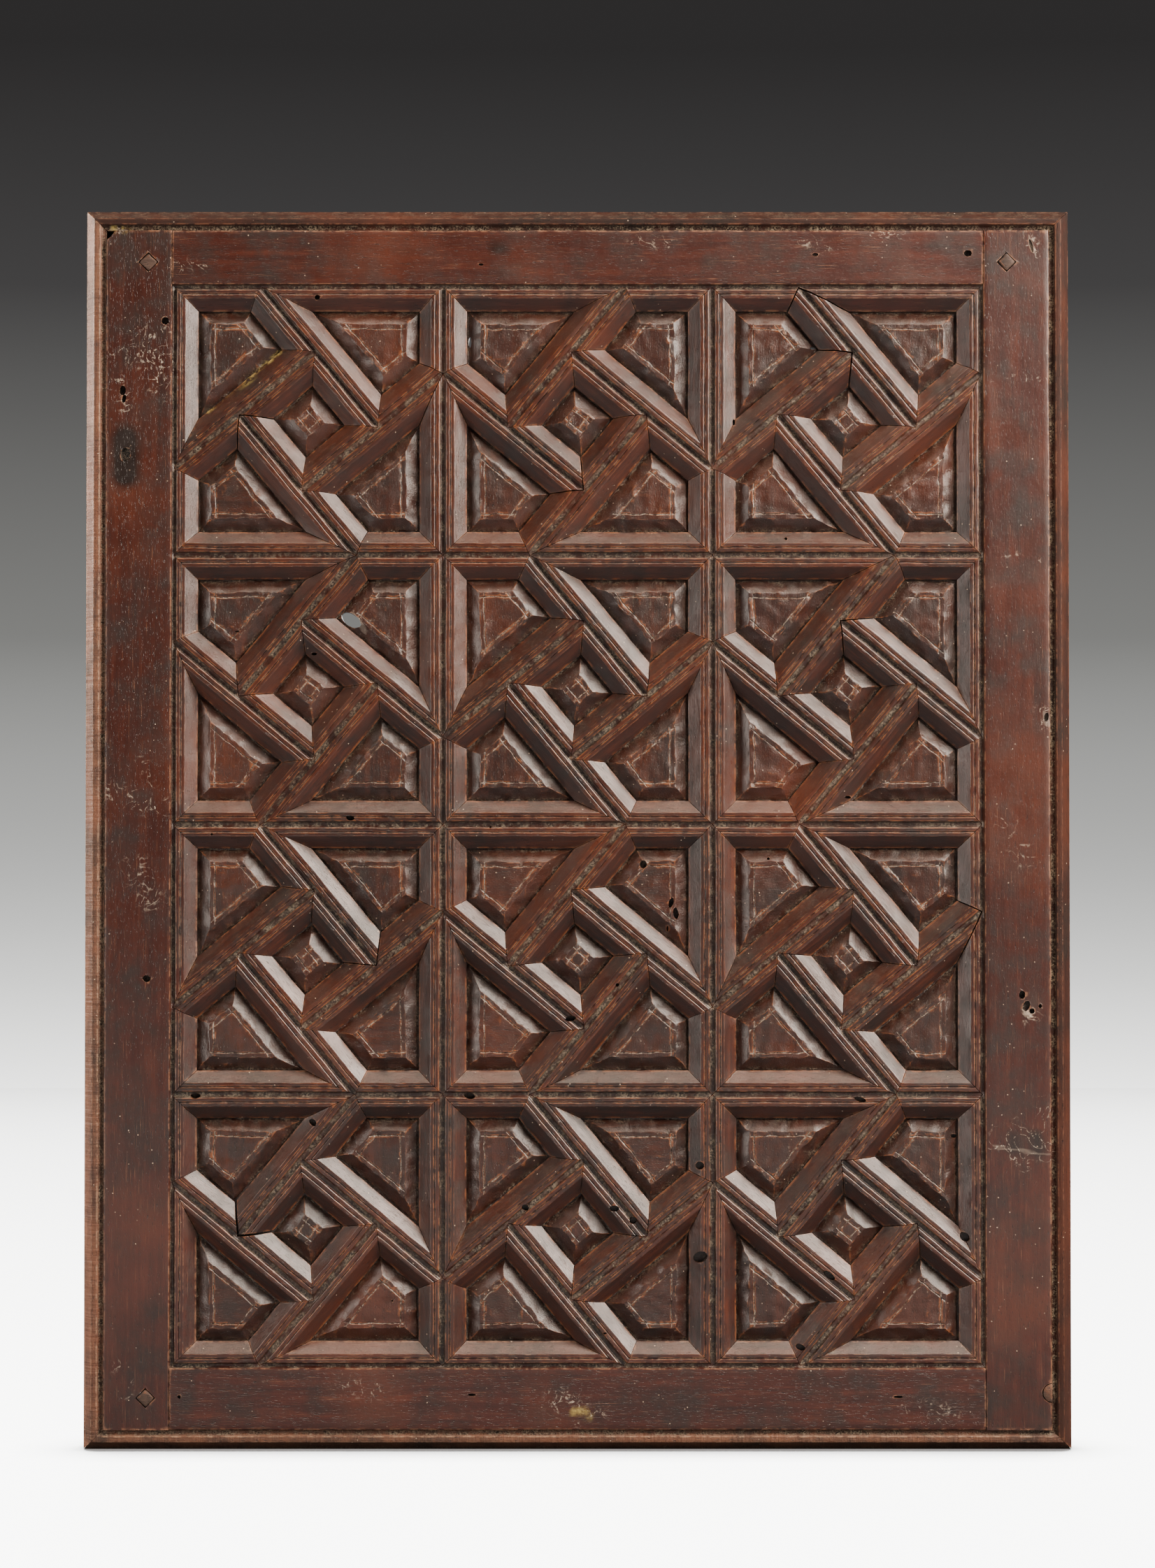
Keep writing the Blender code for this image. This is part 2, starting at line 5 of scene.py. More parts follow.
import bmesh
import bpy
import numpy as np
from mathutils import Matrix, Vector


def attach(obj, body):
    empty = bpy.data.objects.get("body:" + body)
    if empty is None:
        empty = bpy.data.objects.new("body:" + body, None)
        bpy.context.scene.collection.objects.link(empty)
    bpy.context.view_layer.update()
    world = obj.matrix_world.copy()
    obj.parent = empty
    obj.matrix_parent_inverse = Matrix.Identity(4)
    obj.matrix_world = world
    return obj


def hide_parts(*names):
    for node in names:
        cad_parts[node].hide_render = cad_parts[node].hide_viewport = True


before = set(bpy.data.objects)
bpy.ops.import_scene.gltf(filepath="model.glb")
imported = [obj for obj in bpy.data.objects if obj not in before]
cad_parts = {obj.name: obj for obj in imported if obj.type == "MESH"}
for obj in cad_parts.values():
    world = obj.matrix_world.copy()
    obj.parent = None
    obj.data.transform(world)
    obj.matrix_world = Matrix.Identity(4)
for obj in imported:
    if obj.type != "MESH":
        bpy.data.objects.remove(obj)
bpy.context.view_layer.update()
random.seed(1734)
mm = 0.001
right = Vector((1, 0))
up = Vector((0, 1))

# The panel's layout, in metres, as the solids have it. Places in the panel are x and z.
panel = dict(
    columns=3, rows=4, cell=0.1745, foot=0.0563, angle=math.radians(50.3),
    face=-0.026, stile=0.0425, topRail=0.035, bottomRail=0.0395, quirk=0.0014,
    halfWidth=0.0153, mitreDepth=0.0086, gap=0.0003,
    tongue=0.0045, tongueDepth=0.0102, tongueThick=0.005, outerWidth=0.0135,
)
cell, halfWidth, face = panel["cell"], panel["halfWidth"], panel["face"]
fieldWidth, fieldHeight = panel["columns"] * cell, panel["rows"] * cell
innerWidth = fieldWidth + 2 * (panel["quirk"] + panel["stile"])
innerHeight = fieldHeight + 2 * panel["quirk"] + panel["topRail"] + panel["bottomRail"]
fieldTop = innerHeight / 2 - panel["topRail"] - panel["quirk"]
fieldBottom = fieldTop - fieldHeight

# Hand tools and picking


def pick(piece):
    if bpy.context.object and bpy.context.object.mode == "EDIT":
        bpy.ops.object.mode_set(mode="OBJECT")
    bpy.ops.object.select_all(action="DESELECT")
    piece.select_set(True)
    bpy.context.view_layer.objects.active = piece


def edit(piece, kind="VERT"):
    pick(piece)
    bpy.ops.object.mode_set(mode="EDIT")
    bpy.ops.mesh.select_mode(type=kind)
    bpy.ops.mesh.select_all(action="DESELECT")


def choose(piece, wanted, kind="verts"):
    # selects the verts, edges or faces for which wanted says yes
    mesh = bmesh.from_edit_mesh(piece.data)
    for part in getattr(mesh, kind):
        if wanted(part):
            part.select = True
    mesh.select_flush_mode()
    bmesh.update_edit_mesh(piece.data)


def done():
    bpy.ops.object.mode_set(mode="OBJECT")


def faceOutwards():
    bpy.ops.mesh.select_all(action="SELECT")
    bpy.ops.mesh.normals_make_consistent(inside=False)
    done()


def apply(piece, kind, **settings):
    pick(piece)
    modifier = piece.modifiers.new(kind, kind)
    for name, value in settings.items():
        setattr(modifier, name, value)
    bpy.ops.object.modifier_apply(modifier=modifier.name)


def copyOf(piece, name, place=None):
    pick(piece)
    bpy.ops.object.duplicate()
    copy = bpy.context.object
    copy.name = name
    copy.data.name = name
    if place is not None:
        copy.matrix_world = place
        bpy.ops.object.transform_apply(location=True, rotation=True, scale=True)
        if place.to_3x3().determinant() < 0:
            edit(copy)
            faceOutwards()
    return copy


def remove(piece):
    bpy.data.objects.remove(piece)


def flatPlace(point, depth=0.0):
    # a place in the panel as a point in space, so deep below the face
    return Vector((point[0], face + depth, point[1]))


def quadPlate(name, corners, front, back):
    # a four-cornered plate between two depths below the face; the corners run clockwise
    bpy.ops.mesh.primitive_plane_add(size=2, rotation=(math.pi / 2, 0, 0))
    plate = bpy.context.object
    plate.name = name
    bpy.ops.object.transform_apply(location=False, rotation=True, scale=False)
    starts = ((-1, 1), (1, 1), (1, -1), (-1, -1))
    for start, corner in zip(starts, corners):
        edit(plate)
        choose(plate, lambda v: (v.co - Vector((start[0], 0, start[1]))).length < 0.01)
        move = flatPlace(corner, front) - Vector((start[0], 0, start[1]))
        bpy.ops.transform.translate(value=move + Vector((0, 5, 0)))
    edit(plate)
    bpy.ops.mesh.select_all(action="SELECT")
    bpy.ops.transform.translate(value=(0, -5, 0))
    bpy.ops.mesh.extrude_region_move(TRANSFORM_OT_translate={"value": (0, back - front, 0)})
    faceOutwards()
    return plate


def carve(piece, cutter):
    apply(piece, "BOOLEAN", operation="DIFFERENCE", object=cutter)
    remove(cutter)


def cutStraight(piece, point, normal):
    # cuts away what lies behind a plane that stands square to the face
    edit(piece)
    bpy.ops.mesh.select_all(action="SELECT")
    bpy.ops.mesh.bisect(
        plane_co=flatPlace(point), plane_no=(normal[0], 0, normal[1]),
        use_fill=True, clear_inner=True, threshold=1e-6,
    )
    done()


# Moulded lengths: a strip is laid flat, its lines are let down to the section, and it is
# closed behind. Sections are given as millimetres across and below the face.


def mouldedBlank(name, section, length, step, dusty):
    # a length of moulding that runs up from the origin; dusty is where its groove lies
    lines = len(section)
    bpy.ops.mesh.primitive_grid_add(
        x_subdivisions=lines - 1, y_subdivisions=round(length / step), size=1,
        rotation=(math.pi / 2, 0, 0),
    )
    blank = bpy.context.object
    blank.name = name
    bpy.ops.object.transform_apply(location=False, rotation=True, scale=False)
    for line in reversed(range(lines)):
        start = line / (lines - 1) - 0.5
        across, depth = section[line]
        edit(blank)
        choose(blank, lambda v: abs(v.co.x - start) < 0.2 / lines and abs(v.co.y) < 0.001)
        bpy.ops.transform.translate(value=(across * mm + 3 - start, face + depth * mm, 0))
    edit(blank)
    bpy.ops.mesh.select_all(action="SELECT")
    bpy.ops.transform.translate(value=(-3, 0, 0.5))
    bpy.ops.transform.resize(value=(1, 1, length), center_override=(0, 0, 0))
    done()
    groove = blank.data.attributes.new("groove", "FLOAT", "POINT")
    for vert in blank.data.vertices:
        groove.data[vert.index].value = float(dusty[0] * mm < vert.co.x < dusty[1] * mm)
    edit(blank)
    bpy.ops.mesh.select_all(action="DESELECT")
    bpy.ops.mesh.select_mode(type="EDGE")
    choose(blank, lambda e: e.is_boundary, "edges")
    bpy.ops.mesh.extrude_region_move(TRANSFORM_OT_translate={"value": (0, 1, 0)})
    bpy.ops.transform.resize(value=(1, 0, 1), center_override=(0, 0, 0))
    bpy.ops.mesh.edge_face_add()
    faceOutwards()
    return blank


def bothSides(section):
    return [(-x, y) for x, y in reversed(section[1:])] + section


# From the middle groove out: its dusty floor, a fillet, a scratched line, a second fillet
# with a worn arris, and the chamfer.
mouldingSection = [
    (0, 3.15), (0.9, 3.1), (1.4, 2.8), (1.9, 1.2), (2.1, 0.75), (2.4, 0.55), (3.3, 0.45),
    (4.35, 0.5), (4.6, 0.62), (4.85, 1.2), (5.1, 1.2), (5.25, 0.66), (5.5, 0.5), (6.5, 0.45),
    (7.45, 0.52), (7.75, 0.66), (8.05, 0.95), (10.5, 3.1), (13, 5.4), (15.3, 7.5),
]
grooveReach = (-1.95, 1.95)


def placed(point, direction):
    # puts a blank's foot at a point in the panel and turns it to a direction
    turn = math.atan2(direction[0], direction[1])
    return Matrix.Translation((point[0], 0, point[1])) @ Matrix.Rotation(turn, 4, "Y")


# Cutters start above the face and reach well past what they cut, all in metres.
cutters = dict(above=-0.01, below=0.04, notchReach=0.045, shoulderWidth=0.08, shoulderReach=0.04)


def mitreCorner(point, direction, line, spread, reach):
    # the four corners of a square that opens from a point, half way between two directions
    one = (direction + line).normalized()
    other = (direction - line).normalized()
    apex = point - (one + other) * spread
    return [apex, apex + one * reach, apex + (one + other) * reach, apex + other * reach]


def clockwise(corners):
    following, third = corners[1:] + corners[:1], corners[2:] + corners[:2]
    turnSum = sum((b - a).cross(c - b) for a, b, c in zip(corners, following, third))
    return corners if turnSum < 0 else corners[::-1]


def notch(piece, point, direction, line):
    # a seat for the mitred point of another piece
    corners = mitreCorner(point, direction, line, panel["gap"] / 2, cutters["notchReach"])
    floor = panel["mitreDepth"] + panel["gap"]
    carve(piece, quadPlate("notchCutter", clockwise(corners), cutters["above"], floor))


def pointedEnd(piece, point, direction, line):
    # mitres an end to a point and cuts the core back behind it
    corners = mitreCorner(point, direction, line, -panel["gap"] / 2, 1)
    for edge in (corners[1], corners[3]):
        cutStraight(piece, corners[0], (edge - corners[0]).normalized())
    inward = Vector((line.y, -line.x))
    inward *= 1 if inward.dot(direction) > 0 else -1
    near = point + inward * (halfWidth + panel["gap"])
    side, behind = line * cutters["shoulderWidth"], inward * cutters["shoulderReach"]
    corners = [near + side, near - side, near - side - behind, near + side - behind]
    carve(piece, quadPlate("shoulderCutter", clockwise(corners), panel["mitreDepth"], 0.03))


# Places in a compartment, from its centre


def turned(point, quarters):
    for _ in range(quarters % 4):
        point = Vector((point[1], -point[0]))
    return Vector(point)


foot = Vector((panel["foot"] - cell / 2, cell / 2))
strapWay = Vector((math.cos(panel["angle"]), -math.sin(panel["angle"])))
strapShort = (cell - panel["foot"]) * strapWay.x * math.tan(panel["angle"]) - panel["foot"] * strapWay.x
strapLength = (cell - panel["foot"]) * strapWay.x + panel["foot"] * -strapWay.y
crossing = foot + strapWay * strapShort


def isMirrored(row, column):
    return (row + column) % 2 == 1


def cellCentre(row, column):
    return Vector(((column + 0.5) * cell - fieldWidth / 2, fieldTop - (row + 0.5) * cell))


def cellPlace(row, column, quarters):
    # carries a piece from the first quarter of an unmirrored compartment to its own place
    centre = cellCentre(row, column)
    mirror = -1 if isMirrored(row, column) else 1
    return (
        Matrix.Translation((centre.x, 0, centre.y)) @ Matrix.Diagonal((mirror, 1, 1, 1))
        @ Matrix.Rotation(quarters * math.pi / 2, 4, "Y")
    )


def feetOnLine(across, index):
    feet = []
    for step in range(panel["columns"] if across else panel["rows"]):
        row, column = (index, step) if across else (step, index)
        mirrored = isMirrored(row, column)
        quarters = 0 if across else (1 if mirrored else 3)
        place, way = turned(foot, quarters), turned(strapWay, quarters)
        if mirrored:
            place.x, way.x = -place.x, -way.x
        feet.append((place + cellCentre(row, column), way))
    return feet


# Places measured on the photograph, in its pixels, from the frame's four outer corners
photoCorners = dict(topLeft=(117.4, 299.7), topRight=(1529.6, 301), bottomLeft=(115.2, 2072.3),
                    bottomRight=(1538.7, 2071))
photoTop, photoHeight, photoWidth = 300.4, 1771.3, 1418
outerHalf = Vector((innerWidth / 2 + panel["outerWidth"], innerHeight / 2 + panel["outerWidth"]))
pixel = 2 * outerHalf.x / photoWidth


def fromPhoto(x, y):
    corners = {name: Vector(place) for name, place in photoCorners.items()}
    down = (y - photoTop) / photoHeight
    leftEdge = corners["topLeft"].lerp(corners["bottomLeft"], down).x
    rightEdge = corners["topRight"].lerp(corners["bottomRight"], down).x
    along = (x - leftEdge) / (rightEdge - leftEdge)
    return Vector((outerHalf.x * (2 * along - 1), outerHalf.y * (1 - 2 * down)))


# Marks seen on the photograph: from and to in its pixels, then how wide and how strong
marks = dict(
    scuffed=[
        (185, 470, 215, 480, 14, 0.8), (200, 505, 235, 520, 20, 0.9), (215, 530, 228, 560, 14, 1.0),
        (222, 500, 232, 545, 4, 1.1), (160, 505, 185, 512, 10, 0.7), (231, 470, 238, 476, 5, 1.3),
        (150, 1135, 230, 1158, 12, 0.9), (202, 1080, 214, 1130, 7, 0.7), (1424, 1640, 1505, 1652, 7, 1.15),
        (1424, 1652, 1470, 1660, 5, 1.0), (1465, 1660, 1474, 1690, 4, 1.0), (1452, 1600, 1460, 1640, 4, 0.9),
        (1466, 1448, 1478, 1452, 8, 1.35), (1470, 1455, 1471, 1462, 4, 1.2),
        (1495, 1580, 1500, 1610, 10, 0.8),
        (1455, 1625, 1500, 1635, 14, 0.8), (1430, 1622, 1445, 1626, 8, 1.0), (1494, 1020, 1500, 1040, 9, 1.2),
        (1472, 340, 1480, 366, 7, 1.2), (1410, 543, 1498, 541, 3, 0.9), (1420, 790, 1495, 806, 3, 0.9),
        (166, 545, 178, 588, 9, 0.95), (168, 572, 176, 584, 5, 1.2), (250, 375, 300, 380, 7, 0.8),
        (245, 386, 270, 390, 4, 1.0), (156, 327, 176, 329, 3, 1.2), (800, 2000, 850, 2025, 18, 0.9),
        (172, 1950, 178, 1990, 8, 0.9), (1150, 345, 1180, 352, 8, 0.8), (500, 880, 520, 905, 8, 1.2),
        (1235, 332, 1290, 336, 6, 0.8), (1440, 1180, 1470, 1230, 14, 0.6), (190, 1240, 215, 1290, 16, 0.6),
        (1300, 2010, 1360, 2020, 12, 0.7), (480, 1975, 540, 1990, 12, 0.6), (905, 345, 960, 350, 8, 0.6),
    ],
    smeared=[(292, 590, 345, 548, 1.8, 1.2), (345, 548, 395, 500, 2.6, 1.5),
             (820, 2015, 846, 2020, 4, 1.0), (156, 326, 175, 327, 3, 1.0)],
    knotted=[(175, 630, 175, 680, 18, 1.3), (1452, 1625, 1454, 1645, 8, 0.9),
             (1484, 1625, 1488, 1645, 10, 1.0),
             (1390, 430, 1392, 450, 9, 0.7), (705, 355, 715, 356, 9, 0.8)],
)

# Wood. Each piece carries its own grain: the first part of the attribute runs with the
# fibres, so streaks and pores follow the timber and not the room.


wear = dict(fullAngle=0.6, behind=-0.0125, arrisAngle=0.25, arrisDepth=-0.012, chipBias=0.52)


def setGrain(piece, direction):
    mesh = piece.data
    places = np.empty(len(mesh.vertices) * 3, np.float32)
    mesh.vertices.foreach_get("co", places)
    places = places.reshape(-1, 3)
    way = Vector(direction).normalized()
    along = places[:, 0] * way.x + places[:, 2] * way.y
    across = places[:, 0] * way.y - places[:, 2] * way.x
    shift = [random.uniform(-3, 3) for _ in range(3)]
    grain = np.stack([along + shift[0], across + shift[1], places[:, 1] + shift[2]], 1)
    store = mesh.attributes.new("grain", "FLOAT_VECTOR", "POINT")
    store.data.foreach_set("vector", grain.astype(np.float32).ravel())
    work = bmesh.new()
    work.from_mesh(mesh)
    worn = np.zeros(len(mesh.vertices), np.float32)
    hollow = np.zeros(len(mesh.vertices), np.float32)
    for edge in work.edges:
        angle = edge.calc_face_angle_signed(0.0)
        for vert in edge.verts:
            if angle > 0:
                worn[vert.index] = max(worn[vert.index], min(angle / wear["fullAngle"], 1))
            else:
                hollow[vert.index] = max(hollow[vert.index], min(-angle / wear["fullAngle"], 1))
    work.free()
    worn[places[:, 1] > wear["behind"]] = 0
    if "groove" in mesh.attributes:
        groove = np.empty(len(mesh.vertices), np.float32)
        mesh.attributes["groove"].data.foreach_get("value", groove)
        hollow = np.maximum(hollow, groove)
    marked = {"worn": worn, "hollow": hollow}
    flat, atFront = places[:, (0, 2)], places[:, 1] < wear["behind"]
    for name, strokes in marks.items():
        marked[name] = np.zeros(len(flat), np.float32)
        for x, y, toX, toY, wide, strength in strokes:
            start, end = np.array(fromPhoto(x, y)), np.array(fromPhoto(toX, toY))
            share = ((flat - start) @ (end - start) / ((end - start) @ (end - start))).clip(0, 1)
            apart = np.linalg.norm(flat - start - share[:, None] * (end - start), axis=1)
            fade = (1.5 - apart / (wide * pixel)).clip(0, 1) * atFront
            marked[name] = np.maximum(marked[name], fade * strength)
    for name, values in marked.items():
        store = mesh.attributes.new(name, "FLOAT", "POINT")
        store.data.foreach_set("value", values.astype(np.float32))
    store = mesh.attributes.new("timber", "FLOAT", "POINT")
    store.data.foreach_set("value", np.full(len(mesh.vertices), random.random(), np.float32))


def toLinear(hexColour):
    parts = [int(hexColour[i:i + 2], 16) / 255 for i in (0, 2, 4)]
    return tuple(p / 12.92 if p <= 0.04045 else ((p + 0.055) / 1.055) ** 2.4 for p in parts) + (1,)


def addNode(tree, kind, inputs=None, give=0, stops=(), **settings):
    # adds one node with its settings and links, and gives back one of its outputs
    node = tree.nodes.new(kind)
    for name, value in settings.items():
        setattr(node, name, value)
    for name, value in (inputs or {}).items():
        if isinstance(value, bpy.types.NodeSocket):
            tree.links.new(value, node.inputs[name])
        else:
            node.inputs[name].default_value = value
    for count, (place, colour) in enumerate(stops):
        if count > 1:
            node.color_ramp.elements.new(place)
        node.color_ramp.elements[count].position = place
        node.color_ramp.elements[count].color = colour
    return node.outputs[give]


def oldWood(name, looks):
    # old oiled walnut under wax: its own fibres and open pores in each timber, a patina
    # that is nearly black in places, rubbed arrises, dust where a cloth can't reach, and painted shade, near
    # black, in the deepest crevices
    material = bpy.data.materials.new(name)
    material.use_nodes = True
    tree = material.node_tree
    shader = tree.nodes["Principled BSDF"]
    add = functools.partial(addNode, tree)
    times, plus = dict(operation="MULTIPLY"), dict(operation="ADD", use_clamp=True)
    mix = dict(give=2, data_type="RGBA")
    timberPlace = add("ShaderNodeAttribute", give="Vector", attribute_name="grain")
    worn, hollow, timber, scribed, scuffed, smeared, knotted = (
        add("ShaderNodeAttribute", give="Fac", attribute_name=kind)
        for kind in ("worn", "hollow", "timber", "scribed", "scuffed", "smeared", "knotted"))
    room = add("ShaderNodeTexCoord", give="Object")
    facing = add("ShaderNodeNewGeometry", give="Normal")

    # grain lengths and widths in millimetres: figure, fibre, pores, silky streaks, saw teeth;
    # real pores are 0.2 mm wide, too fine to show, so they are drawn at 0.5
    long, fine, short, silk, toothed = (
        add("ShaderNodeMapping", {"Vector": timberPlace, "Scale": (1000 / run, 1000 / width, 1000 / width)})
        for run, width in ((70, 5), (9, 0.45), (4, 0.5), (26, 0.55), (2.2, 40)))
    figure = add("ShaderNodeTexNoise", {"Vector": long, "Scale": 1.0, "Detail": 4.0, "Roughness": 0.62,
                                        "Distortion": 0.7})
    fibre = add("ShaderNodeTexNoise", {"Vector": fine, "Scale": 1.0, "Detail": 2.0})
    porous = add("ShaderNodeTexNoise", {"Vector": short, "Scale": 1.0, "Detail": 1.0})
    pores = add("ShaderNodeMapRange", {"Value": porous, "From Min": 0.65, "From Max": 0.72})
    silky = add("ShaderNodeTexNoise", {"Vector": silk, "Scale": 1.0, "Detail": 2.0, "Roughness": 0.7})
    streaks = add("ShaderNodeMapRange", {"Value": silky, "From Min": 0.64, "From Max": 0.78,
                                         "To Max": looks["streaks"]})
    mottle = add("ShaderNodeTexNoise", {"Vector": room, "Scale": 55.0, "Detail": 4.0, "Roughness": 0.6})
    cloud = add("ShaderNodeTexNoise", {"Vector": room, "Scale": 11.0, "Detail": 3.0})
    grit = add("ShaderNodeTexNoise", {"Vector": room, "Scale": 800.0, "Detail": 2.0, "Roughness": 0.7})
    broken = add("ShaderNodeTexNoise", {"Vector": room, "Scale": 150.0, "Detail": 3.0, "Roughness": 0.75})
    fretted = add("ShaderNodeTexNoise", {"Vector": room, "Scale": 420.0, "Detail": 2.0, "Roughness": 0.8})

    # the timber's own colour
    dark, middle, pale = (toLinear(tone) for tone in looks["tones"])
    colour = add("ShaderNodeValToRGB", {"Fac": figure}, stops=((0.25, dark), (0.52, middle), (0.78, pale)))
    apart = add("ShaderNodeMath", {0: timber, 1: 0.5}, **times)
    colour = add("ShaderNodeMix", {0: apart, 6: colour, 7: toLinear(looks["other"])}, **mix)
    patina = add("ShaderNodeMapRange", {"Value": mottle, "From Min": 0.42, "From Max": 0.68, "To Max": 0.7})
    colour = add("ShaderNodeMix", {0: patina, 6: colour, 7: toLinear(looks["grime"])}, **mix)
    warmth = add("ShaderNodeMapRange", {"Value": cloud, "From Min": 0.5, "From Max": 0.72, "To Max": 0.4})
    colour = add("ShaderNodeMix", {0: warmth, 6: colour, 7: toLinear(looks["warm"])}, **mix)
    light = add("ShaderNodeMapRange", {"Value": fibre, "To Min": 0.78, "To Max": 1.22})
    colour = add("ShaderNodeMix", {0: 0.8, 6: colour, 7: light}, blend_type="MULTIPLY", **mix)
    openPores = add("ShaderNodeMath", {0: pores, 1: 0.75}, **times)
    for share, tone in ((openPores, "pore"), (streaks, "rubbed"), (knotted, "knot")):
        colour = add("ShaderNodeMix", {0: share, 6: colour, 7: toLinear(looks[tone])}, **mix)

    # arrises rubbed through the finish
    arris = add("ShaderNodeMapRange", {"Value": worn, "From Min": 0.45, "From Max": 0.95})
    patchy = add("ShaderNodeMapRange", {"Value": broken, "From Min": 0.44, "From Max": 0.58,
                                        "To Max": looks["rubShare"]})
    rub = add("ShaderNodeMath", {0: arris, 1: patchy}, **times)
    colour = add("ShaderNodeMix", {0: rub, 6: colour, 7: toLinear(looks["rubbed"])}, **mix)

    # dust and old polish in the hollows and, thinly, on what faces up
    height = add("ShaderNodeSeparateXYZ", {"Vector": facing}, give="Z")
    ledge = add("ShaderNodeMapRange", {"Value": height, "From Min": 0.15, "From Max": 0.9,
                                       "To Max": looks["ledgeDust"]})
    # this occlusion gathers dust into the corners, and further down it paints near-black shade into the
    # deepest crevices
    shadeAndDustPocket = add("ShaderNodeAmbientOcclusion", {"Distance": 0.004}, give="AO", samples=3)
    corner = add("ShaderNodeMapRange", {"Value": shadeAndDustPocket, "From Min": 0.85, "From Max": 0.35, "To Max": 0.75})
    sunk = add("ShaderNodeMapRange", {"Value": hollow, "From Min": 0.4, "From Max": 0.9, "To Max": 0.8})
    dust = add("ShaderNodeMath", {0: corner, 1: sunk}, **plus)
    dust = add("ShaderNodeMath", {0: dust, 1: ledge}, **plus)
    lying = add("ShaderNodeMapRange", {"Value": broken, "From Min": 0.4, "From Max": 0.62,
                                       "To Max": looks["dustShare"]})
    dust = add("ShaderNodeMath", {0: dust, 1: lying}, **times)
    grains = add("ShaderNodeMapRange", {"Value": grit, "From Min": 0.42, "From Max": 0.6})
    grainy = add("ShaderNodeMix", {0: grains, 6: toLinear(looks["grime"]), 7: toLinear(looks["dust"])}, **mix)
    colour = add("ShaderNodeMix", {0: dust, 6: colour, 7: grainy}, **mix)
    dots = add("ShaderNodeTexVoronoi", {"Vector": room, "Scale": 190.0}, give="Distance")
    dots = add("ShaderNodeMath", {0: dots, 1: 0.08}, operation="LESS_THAN")
    strewn = add("ShaderNodeMapRange", {"Value": mottle, "From Min": 0.5, "From Max": 0.6, "To Max": 0.7})
    specks = add("ShaderNodeMath", {0: dots, 1: strewn}, **times)
    colour = add("ShaderNodeMix", {0: specks, 6: colour, 7: toLinear(looks["speck"])}, **mix)

    # scribed lines, scratches and torn fibres show pale wood; a little old paint is smeared on
    dashes = add("ShaderNodeMapRange", {"Value": fretted, "From Min": 0.45, "From Max": 0.6})
    scribing = add("ShaderNodeMath", {0: scribed, 1: dashes}, **times)
    ravel = add("ShaderNodeTexNoise", {"Vector": room, "Scale": 75.0, "Detail": 2.0, "Distortion": 1.2})
    ravel = add("ShaderNodeMath", {0: ravel, 1: 0.5}, operation="SUBTRACT")
    ravel = add("ShaderNodeMath", {0: ravel}, operation="ABSOLUTE")
    ravel = add("ShaderNodeMapRange", {"Value": ravel, "From Min": 0.024, "From Max": 0.004})
    scratch = add("ShaderNodeMath", {0: scuffed, 1: ravel}, **times)
    scratch = add("ShaderNodeMath", {0: scratch, 1: dashes}, **times)
    splintered = add("ShaderNodeMapRange", {"Value": scuffed, "From Min": 1.05, "From Max": 1.5})
    bare = add("ShaderNodeMath", {0: scribing, 1: scratch}, **plus)
    bare = add("ShaderNodeMath", {0: bare, 1: splintered}, **plus)
    bare = add("ShaderNodeMath", {0: bare, 1: 0.75}, **times)
    colour = add("ShaderNodeMix", {0: bare, 6: colour, 7: toLinear(looks["scribe"])}, **mix)
    paint = add("ShaderNodeMath", {0: smeared, 1: lying}, **times)
    colour = add("ShaderNodeMix", {0: paint, 6: colour, 7: toLinear(looks["paint"])}, **mix)
    # painted shade: the colour turns near black where the occlusion finds the deepest crevices and the joints
    # between pieces
    clearOfPaintedShade = add("ShaderNodeMapRange", {"Value": shadeAndDustPocket, "From Min": 0.02, "From Max": 0.22})
    colour = add("ShaderNodeMix", {0: clearOfPaintedShade, 6: toLinear("0B0706"), 7: colour}, **mix)
    tree.links.new(colour, shader.inputs["Base Color"])

    # wax: polished where hands pass, dull where dust lies
    gloss = add("ShaderNodeMapRange", {"Value": mottle, "From Min": 0.3, "From Max": 0.7,
                                       "To Min": looks["rough"][0], "To Max": looks["rough"][1]})
    dull = add("ShaderNodeMath", {0: dust, 1: 0.4}, **times)
    gloss = add("ShaderNodeMath", {0: gloss, 1: dull}, **plus)
    tree.links.new(gloss, shader.inputs["Roughness"])
    shader.inputs["IOR"].default_value = 1.5
    shader.inputs["Specular IOR Level"].default_value = looks["shine"]
    shader.inputs["Coat Weight"].default_value = looks["wax"]
    shader.inputs["Coat Roughness"].default_value = 0.36

    # relief that the eye reads as open pores, raised fibres, pits and gritty dust
    gritty = add("ShaderNodeMath", {0: grit, 1: sunk}, **times)
    layers = [(pores, -0.7), (gritty, 1.6), (mottle, 1.0), (broken, 0.5), (grit, looks["pitted"])]
    if looks["sawn"]:
        teeth = add("ShaderNodeTexNoise", {"Vector": toothed, "Scale": 1.0, "Detail": 2.0})
        layers.append((teeth, looks["sawn"]))
    relief = add("ShaderNodeMath", {0: fibre, 1: 0.35}, **times)
    for layer, strength in layers:
        relief = add("ShaderNodeMath", {0: layer, 1: strength, 2: relief}, operation="MULTIPLY_ADD")
    bump = add("ShaderNodeBump", {"Height": relief, "Strength": looks["bump"], "Distance": 0.0004})
    tree.links.new(bump, shader.inputs["Normal"])
    return material


woodLooks = dict(
    tones=("23120D", "3B1C13", "592B19"), other="331710", grime="1C1613", warm="66321D", pore="120B09",
    rubbed="955831", rubShare=0.6, streaks=0.15, dust="8C7D69", dustShare=0.85, ledgeDust=0.2,
    speck="C2AC95", scribe="BEAF9E", knot="1D120E", paint="B9A35A", pitted=0.25, sawn=0.0,
    rough=(0.27, 0.46), wax=0.5, shine=0.5, bump=0.6)
# planed flat and handled most: red-brown, with long silky streaks under the polish
frameWood = oldWood("waxedWalnutFrame", woodLooks | dict(
    tones=("29110D", "3F1A11", "55281A"), rough=(0.28, 0.48), rubbed="9A6B4E", streaks=0.5))
# moulded with a scratch stock: near black in the quirks, orange where the arrises are rubbed
mouldingWood = oldWood("waxedWalnutMouldings", woodLooks)
